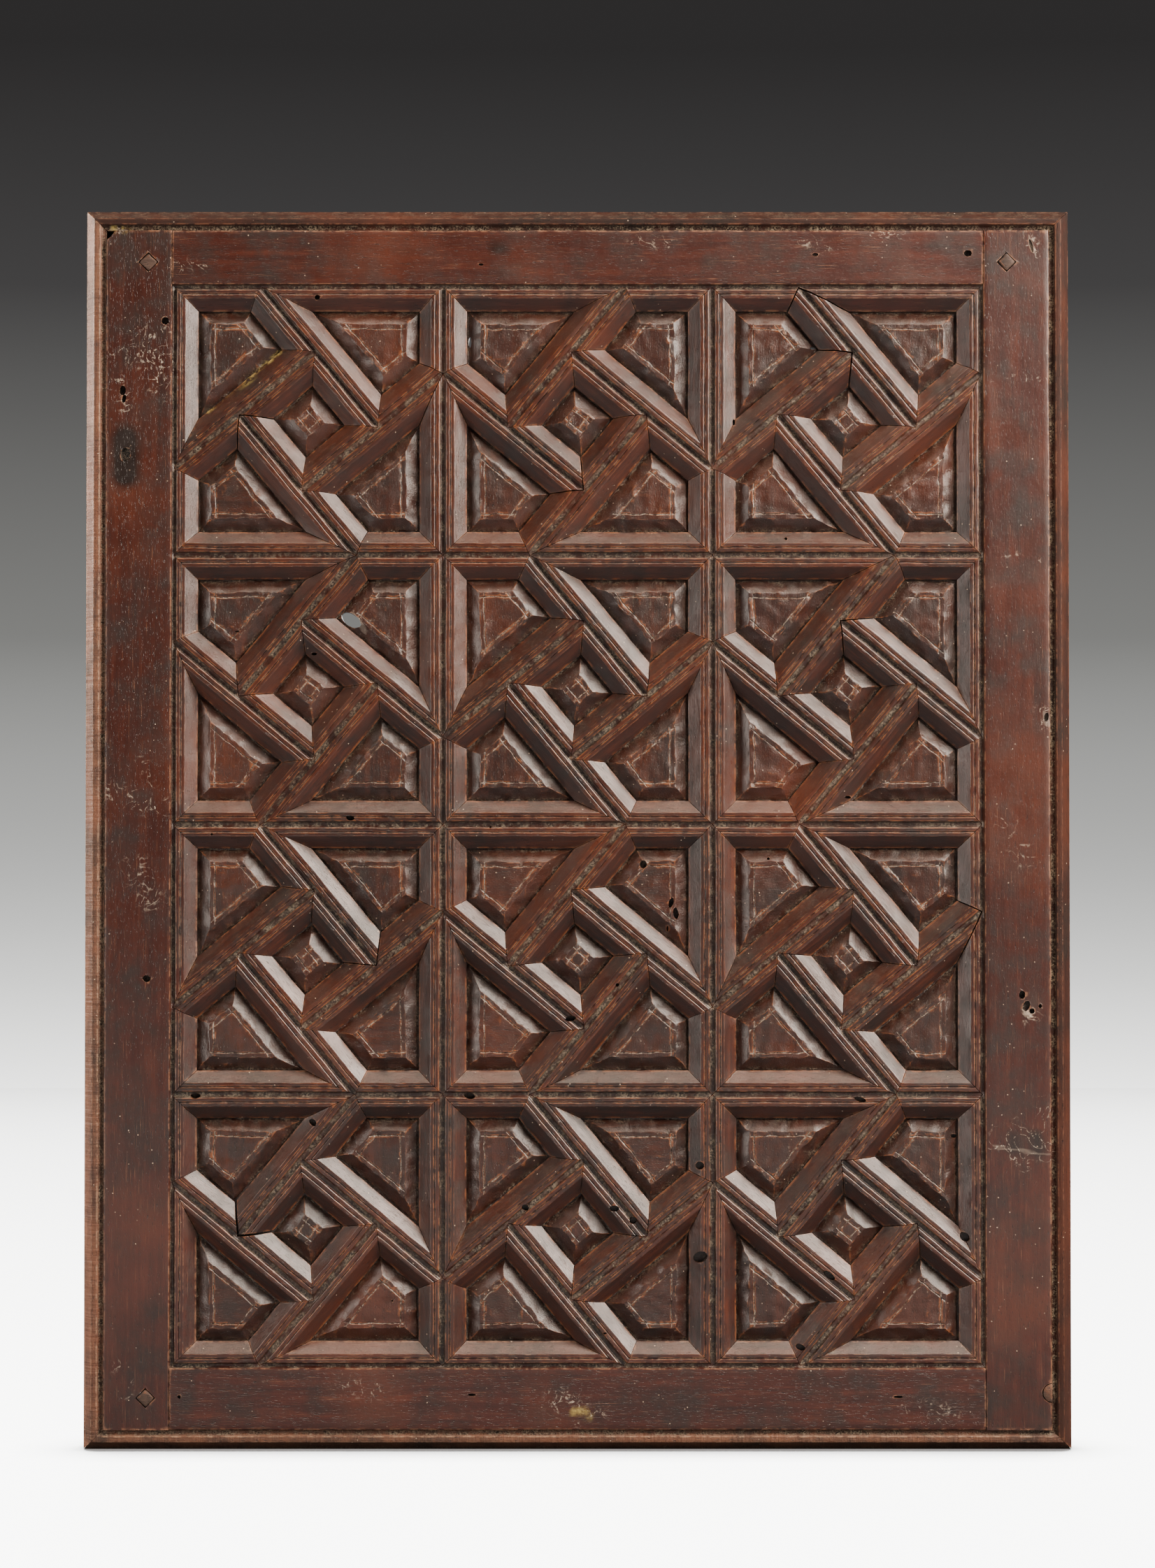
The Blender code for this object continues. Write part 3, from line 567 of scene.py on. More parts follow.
# raised by chisel and never quite smooth: darker, pitted, with a broken shine
panelWood = oldWood("waxedWalnutPanels", woodLooks | dict(
    tones=("241310", "3A1F16", "4E2719"), dustShare=0.8, pitted=0.6, bump=0.9))
# stained later and never waxed: dull and even
outerWood = oldWood("stainedWalnutOuterMoulding", woodLooks | dict(
    tones=("20110D", "331B14", "45281C"), other="2A1610", rubbed="7A4F38", rough=(0.5, 0.68),
    wax=0.0, shine=0.25, bump=0.9))
# left from the saw, with the saw's marks across it; paler and greyed, which is partly painted light, since it
# goes on the left and bottom lengths that the lamps and the white floor light most
sawnAndLitWood = oldWood("greyedWalnutSawnMoulding", woodLooks | dict(
    tones=("4A2E20", "6E4631", "8A5E46"), other="5C3B2A", rubbed="A58468", rough=(0.5, 0.68),
    wax=0.1, pitted=0.5, sawn=1.6, bump=1.0))
# end grain drinks the wax: pale, dry and matt
endGrain = oldWood("dryEndGrainPegs", woodLooks | dict(
    tones=("3B2B24", "544035", "6B5649"), rough=(0.55, 0.75), wax=0.0, bump=1.0))
print("woods mixed")

# Every piece in turn: its blank, its cuts and its wear. The wood goes on last of all.
pieces = []


def keep(piece, wood, slot, nodes, grainWay):
    pieces.append((piece, wood, slot, nodes, grainWay))


pegs = dict(side=8.4 * mm, proud=0.3 * mm, inset=15.2 * mm, fromEnd=20.5 * mm,
            plugRadius=5.8 * mm, plugFromEnd=23.7 * mm, slack=1.09)
handPlaned = bpy.data.textures.new("handPlaned", "CLOUDS")
handPlaned.noise_scale = 0.028
handPlaned.cloud_type = "COLOR"
chipped = bpy.data.textures.new("chipped", "CLOUDS")
chipped.cloud_type = "COLOR"
chipped.noise_scale = 0.006
chipped.noise_depth = 3


def holdInside(piece):
    # nothing stands out past the pegs or behind the flat back
    for vert in piece.data.vertices:
        vert.co.y = min(max(vert.co.y, face - pegs["proud"]), 0)


def handWork(piece, wander=0.7, chips=0.1, whittled=0.3):
    # the wander of a hand-worked surface, and small losses along its arrises
    for texture, strength in ((handPlaned, wander), (chipped, whittled)):
        apply(piece, "DISPLACE", texture=texture, texture_coords="LOCAL",
              direction="RGB_TO_XYZ", strength=strength * mm, mid_level=0.5)
    work = bmesh.new()
    work.from_mesh(piece.data)
    group = piece.vertex_groups.new(name="arris")
    sharp = {v.index for e in work.edges if e.calc_face_angle_signed(0.0) > wear["arrisAngle"]
             for v in e.verts if v.co.y < wear["arrisDepth"]}
    work.free()
    group.add(list(sharp), 1, "REPLACE")
    apply(piece, "DISPLACE", texture=chipped, texture_coords="LOCAL", direction="Y",
          vertex_group="arris", strength=chips * 4 * mm, mid_level=wear["chipBias"])
    piece.vertex_groups.clear()
    holdInside(piece)


shortBlank = mouldedBlank("shortBlank", bothSides(mouldingSection), 0.26, 2 * mm, grooveReach)
longBlank = mouldedBlank("longBlank", bothSides(mouldingSection), 0.78, 2.5 * mm, grooveReach)

# Straps: one is cut, and its copies turn round every compartment
nextWay = turned(strapWay, 1)
strap = copyOf(shortBlank, "strapPattern", placed(foot - strapWay * 0.05, strapWay))
pointedEnd(strap, foot, strapWay, right)
pointedEnd(strap, foot + strapWay * strapLength, -strapWay, nextWay)
notch(strap, crossing, -turned(strapWay, 3), strapWay)
sides = dict(top=0, right=1, bottom=2, left=3)
openJoints = {  # how far a strap's two points have drawn back, in millimetres: foot, tip
    "top_r4_c1": (0.2, 1.9), "bottom_r1_c1": (0.3, 0.9), "top_r1_c3": (1.1, 0.3),
    "left_r1_c3": (0.2, 1.1), "top_r3_c1": (0.2, 0.8), "right_r3_c3": (0.9, 0.3),
    "right_r2_c3": (0.2, 0.9), "left_r1_c2": (0.3, 0.8), "right_r1_c1": (0.5, 0.1),
}
for row in range(panel["rows"]):
    for column in range(panel["columns"]):
        mirrored = isMirrored(row, column)
        for side, quarters in sides.items():
            if mirrored and side in ("left", "right"):
                quarters = 4 - quarters
            label = f"{side}_r{row + 1}_c{column + 1}"
            piece = copyOf(strap, f"strap_{label}", cellPlace(row, column, quarters))
            centre = cellCentre(row, column)
            start, way, across = (turned(v, quarters) for v in (foot, strapWay, nextWay))
            line = turned(right, quarters)
            end = start + way * strapLength
            if mirrored:
                for v in (start, end, way, across, line):
                    v.x = -v.x
            drawn = openJoints.get(label, (random.uniform(0, 0.35), random.uniform(0, 0.45)))
            for point, inward, along, amount in (
                    (start, way, line, drawn[0]), (end, -way, across, drawn[1])):
                corners = mitreCorner(point + centre, inward, along, -amount * mm / 1.4, 1)
                for edge in (corners[1], corners[3]):
                    cutStraight(piece, corners[0], (edge - corners[0]).normalized())
            handWork(piece)
            nodes = [f"strapwork_r{row + 1}_c{column + 1}"]
            keep(piece, mouldingWood, "strap_wood", nodes, way)
remove(strap)
print("straps laid")

# Coffers and bosses
cofferLooks = dict(play=0.5 * mm, bevel=8.2 * mm, rise=5.8 * mm, line=3.0 * mm, lineWidth=1.0 * mm,
                   lineDepth=0.45 * mm, step=2.2 * mm, arris=0.4 * mm, hold=0.9 * mm)


def insetOutline(points, distance):
    lines = []
    for start, end in zip(points, points[1:] + points[:1]):
        along = (end - start).normalized()
        lines.append((start + Vector((along.y, -along.x)) * distance, along))
    moved = []
    for (first, along), (second, other) in zip(lines[-1:] + lines[:-1], lines):
        moved.append(first + along * ((second - first).cross(other) / along.cross(other)))
    return moved


def raisedPanel(name, centreLines, looks):
    outline = insetOutline(centreLines, halfWidth - panel["tongue"])
    front = panel["tongueDepth"]
    piece = quadPlate(name, outline, front, front + panel["tongueThick"])
    edit(piece, "FACE")
    choose(piece, lambda f: f.normal.y < -0.9, "faces")
    bpy.ops.mesh.inset(thickness=panel["tongue"] + looks["play"], depth=0)
    hold = looks["hold"]
    slope = looks["rise"] / looks["bevel"]
    for width in (hold, looks["bevel"] - 2 * hold, hold):
        bpy.ops.mesh.inset(thickness=width, depth=width * slope)
    bpy.ops.mesh.inset(thickness=hold, depth=0)
    bpy.ops.mesh.select_all(action="DESELECT")
    bpy.ops.mesh.select_mode(type="EDGE")
    top = face + front - looks["rise"]
    choose(piece, lambda e: all(v.co.y < top + 1e-5 for v in e.verts)
           and e.calc_face_angle(0.0) > 0.2, "edges")
    bpy.ops.mesh.bevel(offset=looks["arris"], segments=2)
    done()
    # scribed lines run parallel to every side of the raised field
    field = insetOutline(centreLines, halfWidth + looks["play"] + looks["bevel"] + looks["line"])
    lines = [(start, Vector(((end - start).y, -(end - start).x)).normalized())
             for start, end in zip(field, field[1:] + field[:1])]

    def onLine(vert, start, inward):
        return abs((Vector((vert.co.x, vert.co.z)) - start).dot(inward)) < 2e-5

    for start, inward in lines:
        for shift in (-0.5, 0, 0.5):
            edit(piece, "FACE")
            choose(piece, lambda f: f.normal.y < -0.99 and f.calc_center_median().y < top + 0.0005, "faces")
            bpy.ops.mesh.bisect(plane_co=flatPlace(start + inward * shift * looks["lineWidth"]),
                                plane_no=(inward.x, 0, inward.y), threshold=1e-6)
            done()
        edit(piece)
        choose(piece, lambda v: v.co.y < top + 1e-4 and onLine(v, start, inward))
        bpy.ops.transform.translate(value=(0, looks["lineDepth"], 0))
        done()
    scribed = piece.data.attributes.new("scribed", "FLOAT", "POINT")
    for vert in piece.data.vertices:
        scratched = vert.co.y < top + 0.0006 and any(onLine(vert, *line) for line in lines)
        scribed.data[vert.index].value = float(scratched)
    low = min(c.x for c in outline), min(c.y for c in outline)
    high = max(c.x for c in outline), max(c.y for c in outline)
    for axis in (0, 1):
        for stop in range(1, int((high[axis] - low[axis]) / looks["step"])):
            place = Vector(low) + (right, up)[axis] * stop * looks["step"]
            normal = (right, up)[axis]
            edit(piece, "FACE")
            choose(piece, lambda f: f.normal.y < -0.2, "faces")
            bpy.ops.mesh.bisect(plane_co=flatPlace(place), plane_no=(normal.x, 0, normal.y),
                                threshold=1e-6)
            done()
    return piece


cellCorner = Vector((-cell / 2, cell / 2))
coffer = raisedPanel("cofferPattern", [cellCorner, foot, crossing, turned(foot, 3)], cofferLooks)
boss = raisedPanel("bossPattern", [turned(crossing, q) for q in range(4)],
                   cofferLooks | dict(bevel=9 * mm, rise=6.4 * mm, line=3.2 * mm))
cofferSides = dict(top_left=0, top_right=1, bottom_right=2, bottom_left=3)


def settle(piece, turn, shift):
    # a panel lies loose in its grooves, so it has settled a little out of true
    lows = np.array(piece.bound_box).min(0)
    highs = np.array(piece.bound_box).max(0)
    edit(piece)
    bpy.ops.mesh.select_all(action="SELECT")
    bpy.ops.transform.rotate(value=random.uniform(-turn, turn), orient_axis="Y",
                             center_override=tuple((lows + highs) / 2))
    bpy.ops.transform.translate(value=(random.uniform(-shift, shift), 0, random.uniform(-shift, shift)))
    done()


for row in range(panel["rows"]):
    for column in range(panel["columns"]):
        label = f"r{row + 1}_c{column + 1}"
        for side, quarters in cofferSides.items():
            if isMirrored(row, column):
                quarters = quarters ^ 1
            piece = copyOf(coffer, f"coffer_{side}_{label}", cellPlace(row, column, quarters))
            settle(piece, math.radians(0.7), 0.3 * mm)
            handWork(piece, 1.4, 0.12, 2.0)
            grainWay = up if random.random() < 0.7 else right
            keep(piece, panelWood, "boss_wood", [f"strapwork_{label}"], grainWay)
        piece = copyOf(boss, f"boss_{label}_wood", cellPlace(row, column, 0))
        settle(piece, math.radians(1.2), 0.3 * mm)
        handWork(piece, 1.0, 0.12, 1.7)
        keep(piece, panelWood, "boss_wood", [f"boss_{label}"], up)
remove(coffer)
remove(boss)
print("coffers and bosses raised")

# Ledgers and muntins
for row in range(1, panel["rows"]):
    for column in range(panel["columns"]):
        start = Vector((column * cell - fieldWidth / 2, fieldTop - row * cell))
        end = start + right * cell
        name = f"ledger_r{row}_c{column + 1}"
        piece = copyOf(shortBlank, name + "_wood", placed(start - right * 0.04, right))
        pointedEnd(piece, start, right, up)
        pointedEnd(piece, end, -right, up)
        for place, way in feetOnLine(True, row):
            if start.x < place.x < end.x:
                notch(piece, place, way, right)
                notch(piece, place, Vector((way.x, -way.y)), right)
        handWork(piece)
        keep(piece, mouldingWood, "strap_wood", [name], right)
for index in range(1, panel["columns"]):
    end = Vector((index * cell - fieldWidth / 2, fieldTop))
    start = end - up * fieldHeight
    name = f"muntin_{index}"
    piece = copyOf(longBlank, name + "_wood", placed(start - up * 0.04, up))
    pointedEnd(piece, start, up, right)
    pointedEnd(piece, end, -up, right)
    for place, way in feetOnLine(False, index):
        notch(piece, place, way, up)
        notch(piece, place, Vector((-way.x, way.y)), up)
    for row in range(1, panel["rows"]):
        notch(piece, end - up * row * cell, right, up)
        notch(piece, end - up * row * cell, -right, up)
    handWork(piece)
    keep(piece, mouldingWood, "strap_wood", [name], up)
print("ledgers and muntins set")

# The frame: a plain face with the border moulding stuck on its inner edge
def frameBlank(name, flat, length):
    plain = [(-flat, 0.9), (-flat + 0.35, 0.25), (-flat + 1.1, 0.0)]
    plain += [(-at * flat / 40, 0.0) for at in range(36, 2, -4)]
    arris = [(-0.9, 0.0), (-0.3, 0.15), (0.1, 0.8), (0.55, 2.6)]
    moulding = [(panel["quirk"] * 1000 + x, y) for x, y in mouldingSection]
    quirk = panel["quirk"] * 1000
    return mouldedBlank(name, plain + arris + moulding, length, 3 * mm, (0.2, quirk + grooveReach[1]))


def makeStile(name, side):
    flat = panel["stile"]
    blank = frameBlank(name, flat * 1000, innerHeight)
    flatEdge = innerWidth / 2 - flat
    place = Matrix.Translation((side * flatEdge, 0, -innerHeight / 2))
    if side > 0:
        place = place @ Matrix.Diagonal((-1, 1, 1, 1))
    piece = copyOf(blank, name + "_wood", place)
    remove(blank)
    half = innerHeight / 2
    for end, way, rail in ((half, -1, panel["topRail"]), (-half, 1, panel["bottomRail"])):
        z = end + way * rail
        corners = [Vector((side * flatEdge, z)), Vector((side * flatEdge, end - way * 0.02)),
                   Vector((side * (flatEdge - 0.03), end - way * 0.02)),
                   Vector((side * (flatEdge - 0.03), z + way * 0.03))]
        carve(piece, quadPlate("mitreCutter", clockwise(corners), cutters["above"], cutters["below"]))
    column = panel["columns"] if side > 0 else 0
    for place, way in feetOnLine(False, column):
        notch(piece, place, Vector((-side * abs(way.x), way.y)), up)
    for row in range(1, panel["rows"]):
        notch(piece, Vector((side * fieldWidth / 2, fieldTop - row * cell)), -side * right, up)
    return piece


def makeRail(name, way, flat):
    blank = frameBlank(name, flat * 1000, innerWidth)
    shift = fieldTop + panel["quirk"] if way < 0 else fieldBottom - panel["quirk"]
    turn = Matrix(((0, 0, 1, 0), (0, 1, 0, 0), (way, 0, 0, 0), (0, 0, 0, 1)))
    place = Matrix.Translation((-innerWidth / 2, 0, shift)) @ turn
    piece = copyOf(blank, name + "_wood", place)
    remove(blank)
    end = innerWidth / 2 - panel["stile"] - panel["gap"]
    for side in (-1, 1):
        cutStraight(piece, Vector((side * end, 0)), -side * right)
        corners = [Vector((side * (end + x * mm), shift + way * z * mm))
                   for x, z in ((10, -10), (10, 30), (-30, 30), (-10, 10))]
        carve(piece, quadPlate("mitreCutter", clockwise(corners), cutters["above"], cutters["below"]))
    for place, lean in feetOnLine(True, 0 if way < 0 else panel["rows"]):
        notch(piece, place, Vector((lean.x, way * abs(lean.y))), right)
    for index in range(1, panel["columns"]):
        notch(piece, Vector((index * cell - fieldWidth / 2, shift + way * panel["quirk"])), up * way, right)
    return piece


frameParts = [
    (makeStile("stile_left", -1), up), (makeStile("stile_right", 1), up),
    (makeRail("rail_top", -1, panel["topRail"]), right),
    (makeRail("rail_bottom", 1, panel["bottomRail"]), right),
]
print("frame joined")

# The outer moulding: a rounded lip over a sunk quirk, and a wide chamfer with saw marks
outerSection = [
    (0, 9), (1.4, 6.7), (2.8, 4.4), (4.2, 2.2), (5.3, 0.55), (5.7, 0.15), (6.2, 0), (7.6, 0),
    (9.2, 0.05), (9.6, 0.3), (9.9, 0.8), (10.5, 2.0), (11.2, 2.6), (12.3, 2.75), (13.2, 2.4),
]
outerParts = []
for quarters, name in enumerate(("top", "right", "bottom", "left")):
    upright = quarters % 2 == 1
    half = (innerHeight if upright else innerWidth) / 2 + panel["outerWidth"]
    out = (innerWidth if upright else innerHeight) / 2 + panel["outerWidth"]
    blank = mouldedBlank("outerBlank", outerSection, 2 * half, 3 * mm, (10.2, 14))
    lie = Matrix(((0, 0, 1, -half), (0, 1, 0, 0), (-1, 0, 0, out), (0, 0, 0, 1)))
    piece = copyOf(blank, f"moulding_{name}_wood", Matrix.Rotation(quarters * math.pi / 2, 4, "Y") @ lie)
    remove(blank)
    for end in (-1, 1):
        corner = turned(Vector((end * (half - 0.00015), out)), quarters)
        cutStraight(piece, corner, turned(Vector((-end, 1)).normalized(), quarters))
    outerParts.append((piece, turned(right, quarters)))
print("outer moulding mitred")

for piece, way in frameParts:
    handWork(piece, 0.5, 0.12)
    keep(piece, frameWood, "frame_wood", [piece.name.removesuffix("_wood")], way)
for piece, way in outerParts:
    # the left and bottom lengths take the paler sawn wood: real saw marks, and partly painted light on the
    # sides that are lit most
    wood = sawnAndLitWood if "left" in piece.name or "bottom" in piece.name else outerWood
    keep(piece, wood, "outer_moulding_wood", [piece.name.removesuffix("_wood")], way)

# Pegs
for name, side, way in (("peg_top_left", -1, -1), ("peg_top_right", 1, -1), ("peg_bottom_left", -1, 1)):
    middle = Vector((side * (innerWidth / 2 - panel["stile"] + pegs["inset"]),
                     -way * innerHeight / 2 + way * pegs["fromEnd"]))
    half = pegs["side"] / math.sqrt(2)
    corners = [middle + up * half, middle + right * half, middle - up * half, middle - right * half]
    post = frameParts[0 if side < 0 else 1][0]
    roomy = [middle + (place - middle) * pegs["slack"] for place in corners]
    carve(post, quadPlate("pegHole", roomy, cutters["above"], cutters["below"]))
    piece = quadPlate(name + "_wood", corners, -pegs["proud"], -face)
    apply(piece, "BEVEL", width=1.1 * mm, segments=2)
    apply(piece, "SUBSURF", levels=2, subdivision_type="SIMPLE")
    apply(piece, "DISPLACE", texture=chipped, texture_coords="LOCAL", direction="RGB_TO_XYZ",
          strength=1.0 * mm, mid_level=0.5)
    holdInside(piece)
    keep(piece, endGrain, "peg_wood", [name], right)
bpy.ops.mesh.primitive_cylinder_add(
    vertices=32, radius=pegs["plugRadius"], depth=12 * mm, rotation=(math.pi / 2, 0, 0),
    location=(innerWidth / 2, face + 6 * mm, pegs["plugFromEnd"] - innerHeight / 2))
plug = bpy.context.object
plug.name = "plug_bottom_right_wood"
bpy.ops.object.transform_apply(location=True, rotation=True, scale=True)
cutStraight(plug, Vector((innerWidth / 2, 0)), -right)
seat = copyOf(plug, "plugSeat", Matrix.Translation((0, -0.001, 0)))
edit(seat)
bpy.ops.mesh.select_all(action="SELECT")
bpy.ops.transform.resize(value=(pegs["slack"], 1.1, pegs["slack"]), center_override=(
    innerWidth / 2, face, pegs["plugFromEnd"] - innerHeight / 2))
done()
carve(frameParts[1][0], seat)
apply(plug, "BEVEL", width=0.5 * mm, segments=2)
keep(plug, endGrain, "peg_wood", ["plug_bottom_right"], right)
remove(shortBlank)
remove(longBlank)
print("pegs driven")

# Worm holes and losses, as seen: place and size in the photograph's pixels, slant in degrees,
# and depth in millimetres
wormHoles = [
    (499, 1172, 12, 7, 5, 6), (671, 1568, 16, 9, 10, 6), (277, 1568, 14, 8, 0, 6), (446, 1606, 12, 9, 40, 6),
    (816, 1458, 16, 8, -10, 6), (751, 1727, 11, 9, 30, 6), (879, 1728, 14, 9, 0, 6),
    (906, 1745, 11, 10, 0, 6),
    (1002, 1667, 12, 12, 0, 6), (1003, 1797, 21, 16, -20, 8), (1188, 1823, 20, 9, 40, 6),
    (1232, 1573, 18, 7, 15, 6), (1147, 1925, 14, 9, 20, 6), (675, 1992, 12, 3.5, 0, 5),
    (1287, 1995, 14, 3.5, 0, 5), (450, 426, 8, 7, 0, 6), (1124, 772, 4.6, 4.6, 0, 5),
    (685, 379, 7, 3.5, 0, 3), (883, 1410, 5, 5, 0, 5), (255, 1995, 5, 5, 0, 5), (920, 1238, 10, 12, 0, 5),
    (960, 1293, 7, 15, 15, 6), (967, 1308, 8, 17, -8, 6), (1383, 1769, 16, 12, 40, 5),
    (171, 560, 9, 14, 0, 6), (173, 572, 6, 12, 10, 6), (232, 460, 11, 11, 0, 5), (175, 652, 14, 20, 5, 2.5),
    (207, 1401, 12, 10, 0, 6), (1384, 363, 12, 9, 0, 5), (1165, 365, 9, 5, 0, 2),
    (1475, 352, 5, 20, -15, 1.6),
    (1498, 1028, 7, 13, 10, 3), (1464, 1424, 9, 12, 0, 6), (1470, 1440, 10, 16, 20, 3.5),
    (1478, 1447, 8, 8, 0, 6), (1368, 1626, 9, 6, 0, 5), (1490, 1440, 5, 6, 0, 4), (669, 488, 4, 16, 0, 9),
    (1163, 497, 9, 4, 0, 9), (1049, 604, 4, 9, 0, 9), (446, 937, 8, 4, 0, 9), (1214, 1142, 10, 4, 0, 9),
    (866, 1905, 5, 3, 0, 4), (335, 905, 6, 2.5, 0, 3), (560, 1860, 3, 3, 0, 3), (1100, 1230, 4, 4, 0, 4),
    (955, 1330, 3, 8, 0, 3), (700, 1185, 3, 3, 0, 3), (300, 1195, 4, 3, 0, 3),
]
throughHole = (499, 888, 32, 18, 34)


def bore(x, y, width, height, slant, depth):
    spot = fromPhoto(x, y)
    reach = max(width, height) * pixel / 2
    touched = {}
    for step in (Vector((0, 0)), right * reach, -right * reach, up * reach, -up * reach):
        at = spot + step
        hits = []
        for piece, *_ in pieces:
            hit, place, _, _ = piece.ray_cast(Vector((at.x, -1, at.y)), Vector((0, 1, 0)))
            if hit:
                hits.append((place.y, piece.name, piece))
        if hits:
            nearest = min(hits, key=lambda found: found[:2])
            touched.setdefault(nearest[1], (nearest[2], nearest[0]))
    for piece, surface in touched.values():
        bpy.ops.mesh.primitive_cylinder_add(vertices=14, radius=1, depth=2, rotation=(math.pi / 2, 0, 0))
        cutter = bpy.context.object
        bpy.ops.object.transform_apply(location=False, rotation=True, scale=False)
        edit(cutter)
        bpy.ops.mesh.select_all(action="SELECT")
        bpy.ops.transform.vertex_random(offset=0.09, seed=int(x + y))
        done()
        cutter.matrix_world = (
            Matrix.Translation((spot.x, surface, spot.y)) @ Matrix.Rotation(math.radians(slant), 4, "Y")
            @ Matrix.Diagonal((width * pixel / 2, depth * mm, height * pixel / 2, 1)))
        bpy.ops.object.transform_apply(location=True, rotation=True, scale=True)
        carve(piece, cutter)


for hole in wormHoles:
    bore(*hole)
bore(*throughHole, 40)

# the broken corner of the left stile
chip = dict(width=4.2 * mm, height=7.4 * mm, depth=14 * mm)
edge, top = -innerWidth / 2, innerHeight / 2
outline = [Vector((edge - 0.004, top + 0.004)), Vector((edge + 1.9 * chip["width"], top + 0.004)),
           Vector((edge + 0.8 * chip["width"], top - 0.5 * chip["height"])),
           Vector((edge - 0.004, top - 1.2 * chip["height"]))]
carve(frameParts[0][0], quadPlate("chipCutter", outline, -0.01, chip["depth"]))
print("holes bored")

for piece, wood, slot, nodes, grainWay in pieces:
    setGrain(piece, grainWay)
    piece.data.materials.clear()
    piece.data.materials.append(wood)
    pick(piece)
    bpy.ops.object.shade_smooth_by_angle(angle=math.radians(24))
    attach(piece, "root")
    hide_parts(*nodes)
count = sum(len(f.vertices) - 2 for piece, *_ in pieces for f in piece.data.polygons)
print("wood on", len(pieces), "pieces", count, "triangles")

# Floor, backdrop, light and camera
stageLooks = dict(floorGap=0.6 * mm, shadow="3A3837", reach=0.05, dull=0.36, surround=0.1)

# a white paper floor: it glows to the lens and less to the wood, which keeps glare off the wax; a painted
# contact shadow darkens it under the panel
bpy.ops.mesh.primitive_plane_add(size=8, location=(0, 0, -outerHalf.y - stageLooks["floorGap"]))
floor = bpy.context.object
floor.name = "floor"
paper = bpy.data.materials.new("whitePaperFloor")
paper.use_nodes = True
shader = paper.node_tree.nodes["Principled BSDF"]
add = functools.partial(addNode, paper.node_tree)
place = add("ShaderNodeTexCoord", give="Object")
depth = add("ShaderNodeSeparateXYZ", {"Vector": place}, give="Y")
# painted shadow: where the occlusion finds the panel close by, the floor's colour turns to the shadow colour
near = add("ShaderNodeAmbientOcclusion", {"Distance": stageLooks["reach"]}, give="AO", samples=4)
near = add("ShaderNodeMapRange", {"Value": near, "From Min": 0.45, "From Max": 0.9})
paperWithPaintedShadow = add("ShaderNodeMix", {0: near, 6: toLinear(stageLooks["shadow"]), 7: toLinear("FCFCFA")},
            give=2, data_type="RGBA")
lift = add("ShaderNodeMapRange", {"Value": depth, "From Min": 4.0, "From Max": 0.0,
                                  "To Min": 2.6, "To Max": 9.0})
toLens = add("ShaderNodeLightPath", give="Is Camera Ray")
glow = add("ShaderNodeMapRange", {"Value": toLens, "To Min": stageLooks["dull"], "To Max": lift})
paper.node_tree.links.new(paperWithPaintedShadow, shader.inputs["Emission Color"])
paper.node_tree.links.new(glow, shader.inputs["Emission Strength"])
shader.inputs["Base Color"].default_value = toLinear("000000")
shader.inputs["Specular IOR Level"].default_value = 0
floor.data.materials.append(paper)

# the studio round it falls off from white to dark grey with height
world = bpy.data.worlds.new("fadingStudio")
bpy.context.scene.world = world
world.use_nodes = True
background = world.node_tree.nodes["Background"]
add = functools.partial(addNode, world.node_tree)
way = add("ShaderNodeTexCoord", give="Generated")
height = add("ShaderNodeSeparateXYZ", {"Vector": way}, give="Z")
fade = add("ShaderNodeMapRange", {"Value": height, "From Min": -0.17, "From Max": 0.22})
fading = add("ShaderNodeValToRGB", {"Fac": fade}, stops=(
    (0, toLinear("FCFCFA")), (0.18, toLinear("DADAD8")), (0.36, toLinear("AAAAA8")),
    (0.6, toLinear("60605E")), (0.84, toLinear("333232")), (1, toLinear("232222"))))
low = add("ShaderNodeMapRange", {"Value": height, "From Min": 0.02, "From Max": -0.14})
low = add("ShaderNodeMath", {0: low, 1: 2.2}, operation="POWER")
lift = add("ShaderNodeMath", {0: low, 1: 17.0, 2: 1.9}, operation="MULTIPLY_ADD")
toLens = add("ShaderNodeLightPath", give="Is Camera Ray")
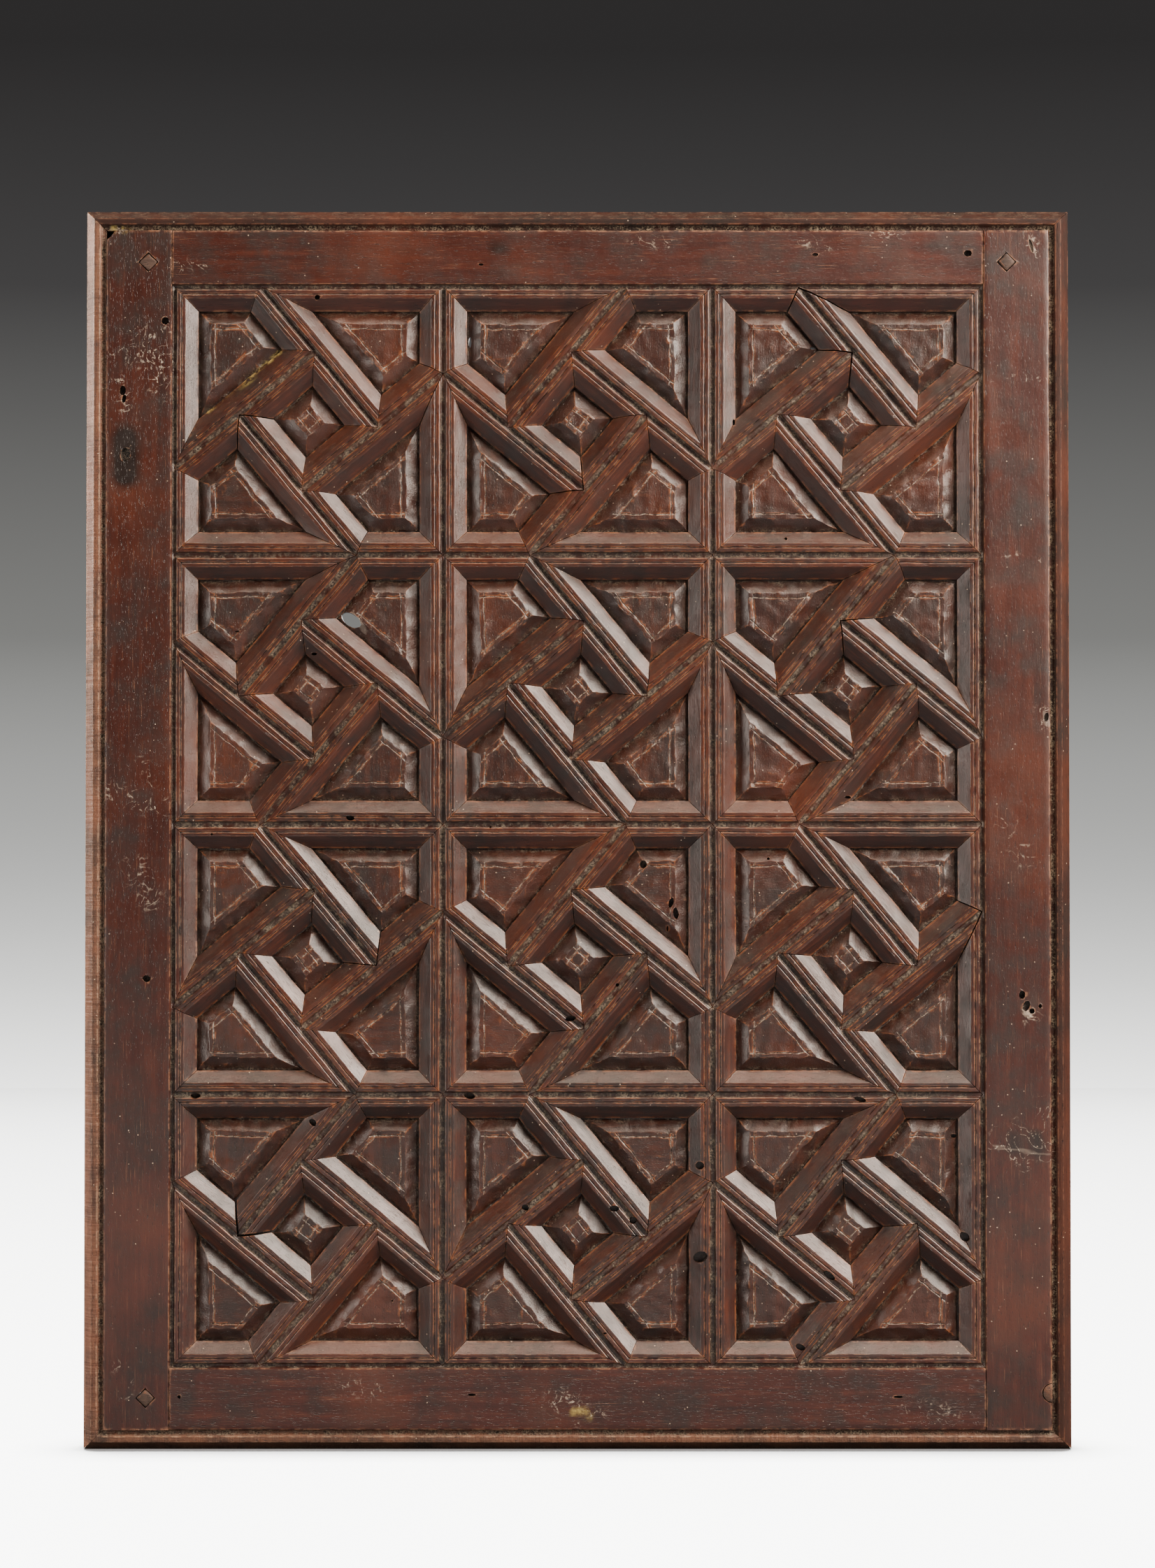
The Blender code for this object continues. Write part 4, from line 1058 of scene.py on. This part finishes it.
glow = add("ShaderNodeMapRange", {"Value": toLens, "To Min": stageLooks["surround"], "To Max": lift})
world.node_tree.links.new(fading, background.inputs["Color"])
world.node_tree.links.new(glow, background.inputs["Strength"])


# each softbox: place, what it is aimed at, width and height, power, colour
softboxes = dict(
    upperRightSoftbox=((1.5, -0.86, 1.12), (0.0, 0, 0.0), (1.4, 1.6), 152, (1, 0.88, 0.76)),
    leftSoftbox=((-1.6, -0.85, 0.1), (-0.1, 0, 0.0), (0.5, 1.2), 18.5, (1, 0.91, 0.82)),
    leftEdgeStrip=((-1.25, 0.14, 0.62), (-0.3, 0, 0.1), (0.25, 0.9), 42, (1, 0.86, 0.74)),
    frontFill=((0.9, -2.4, 0.9), (0, 0, 0.0), (1.2, 1.0), 3, (1, 0.95, 0.9)),
    overhead=((0.0, -0.8, 2.2), (0, -0.3, -0.1), (1.6, 0.7), 36, (1, 0.8, 0.64)),
    floorBounce=((0.0, -0.5, -0.39), (0, 0, -0.32), (1.6, 0.4), 1.2, (1, 0.92, 0.86)),
    backFill=((0.6, 2.3, 0.9), (0, 0, 0.0), (1.2, 1.2), 32, (1, 0.98, 0.96)),
)
for name, (place, aim, size, power, colour) in softboxes.items():
    bpy.ops.object.light_add(type="AREA", location=place)
    lamp = bpy.context.object
    lamp.name = name
    lamp.rotation_euler = (Vector(aim) - Vector(place)).to_track_quat("-Z", "Y").to_euler()
    lamp.data.shape = "RECTANGLE"
    lamp.data.size, lamp.data.size_y = size
    lamp.data.energy = power
    lamp.data.color = colour

cameraSpot = dict(away=2.4, low=-0.03, aimHeight=0.029, heightInView=1.0245)
bpy.ops.object.camera_add(location=(0, -cameraSpot["away"], cameraSpot["low"]))
camera = bpy.context.object
camera.data.sensor_fit = "VERTICAL"
camera.data.sensor_height = 36
camera.data.lens = 36 * cameraSpot["away"] / cameraSpot["heightInView"]
aim = Vector((0, 0, cameraSpot["aimHeight"])) - camera.location
camera.rotation_euler = aim.to_track_quat("-Z", "Y").to_euler()
bpy.context.scene.camera = camera
print("stage lit")
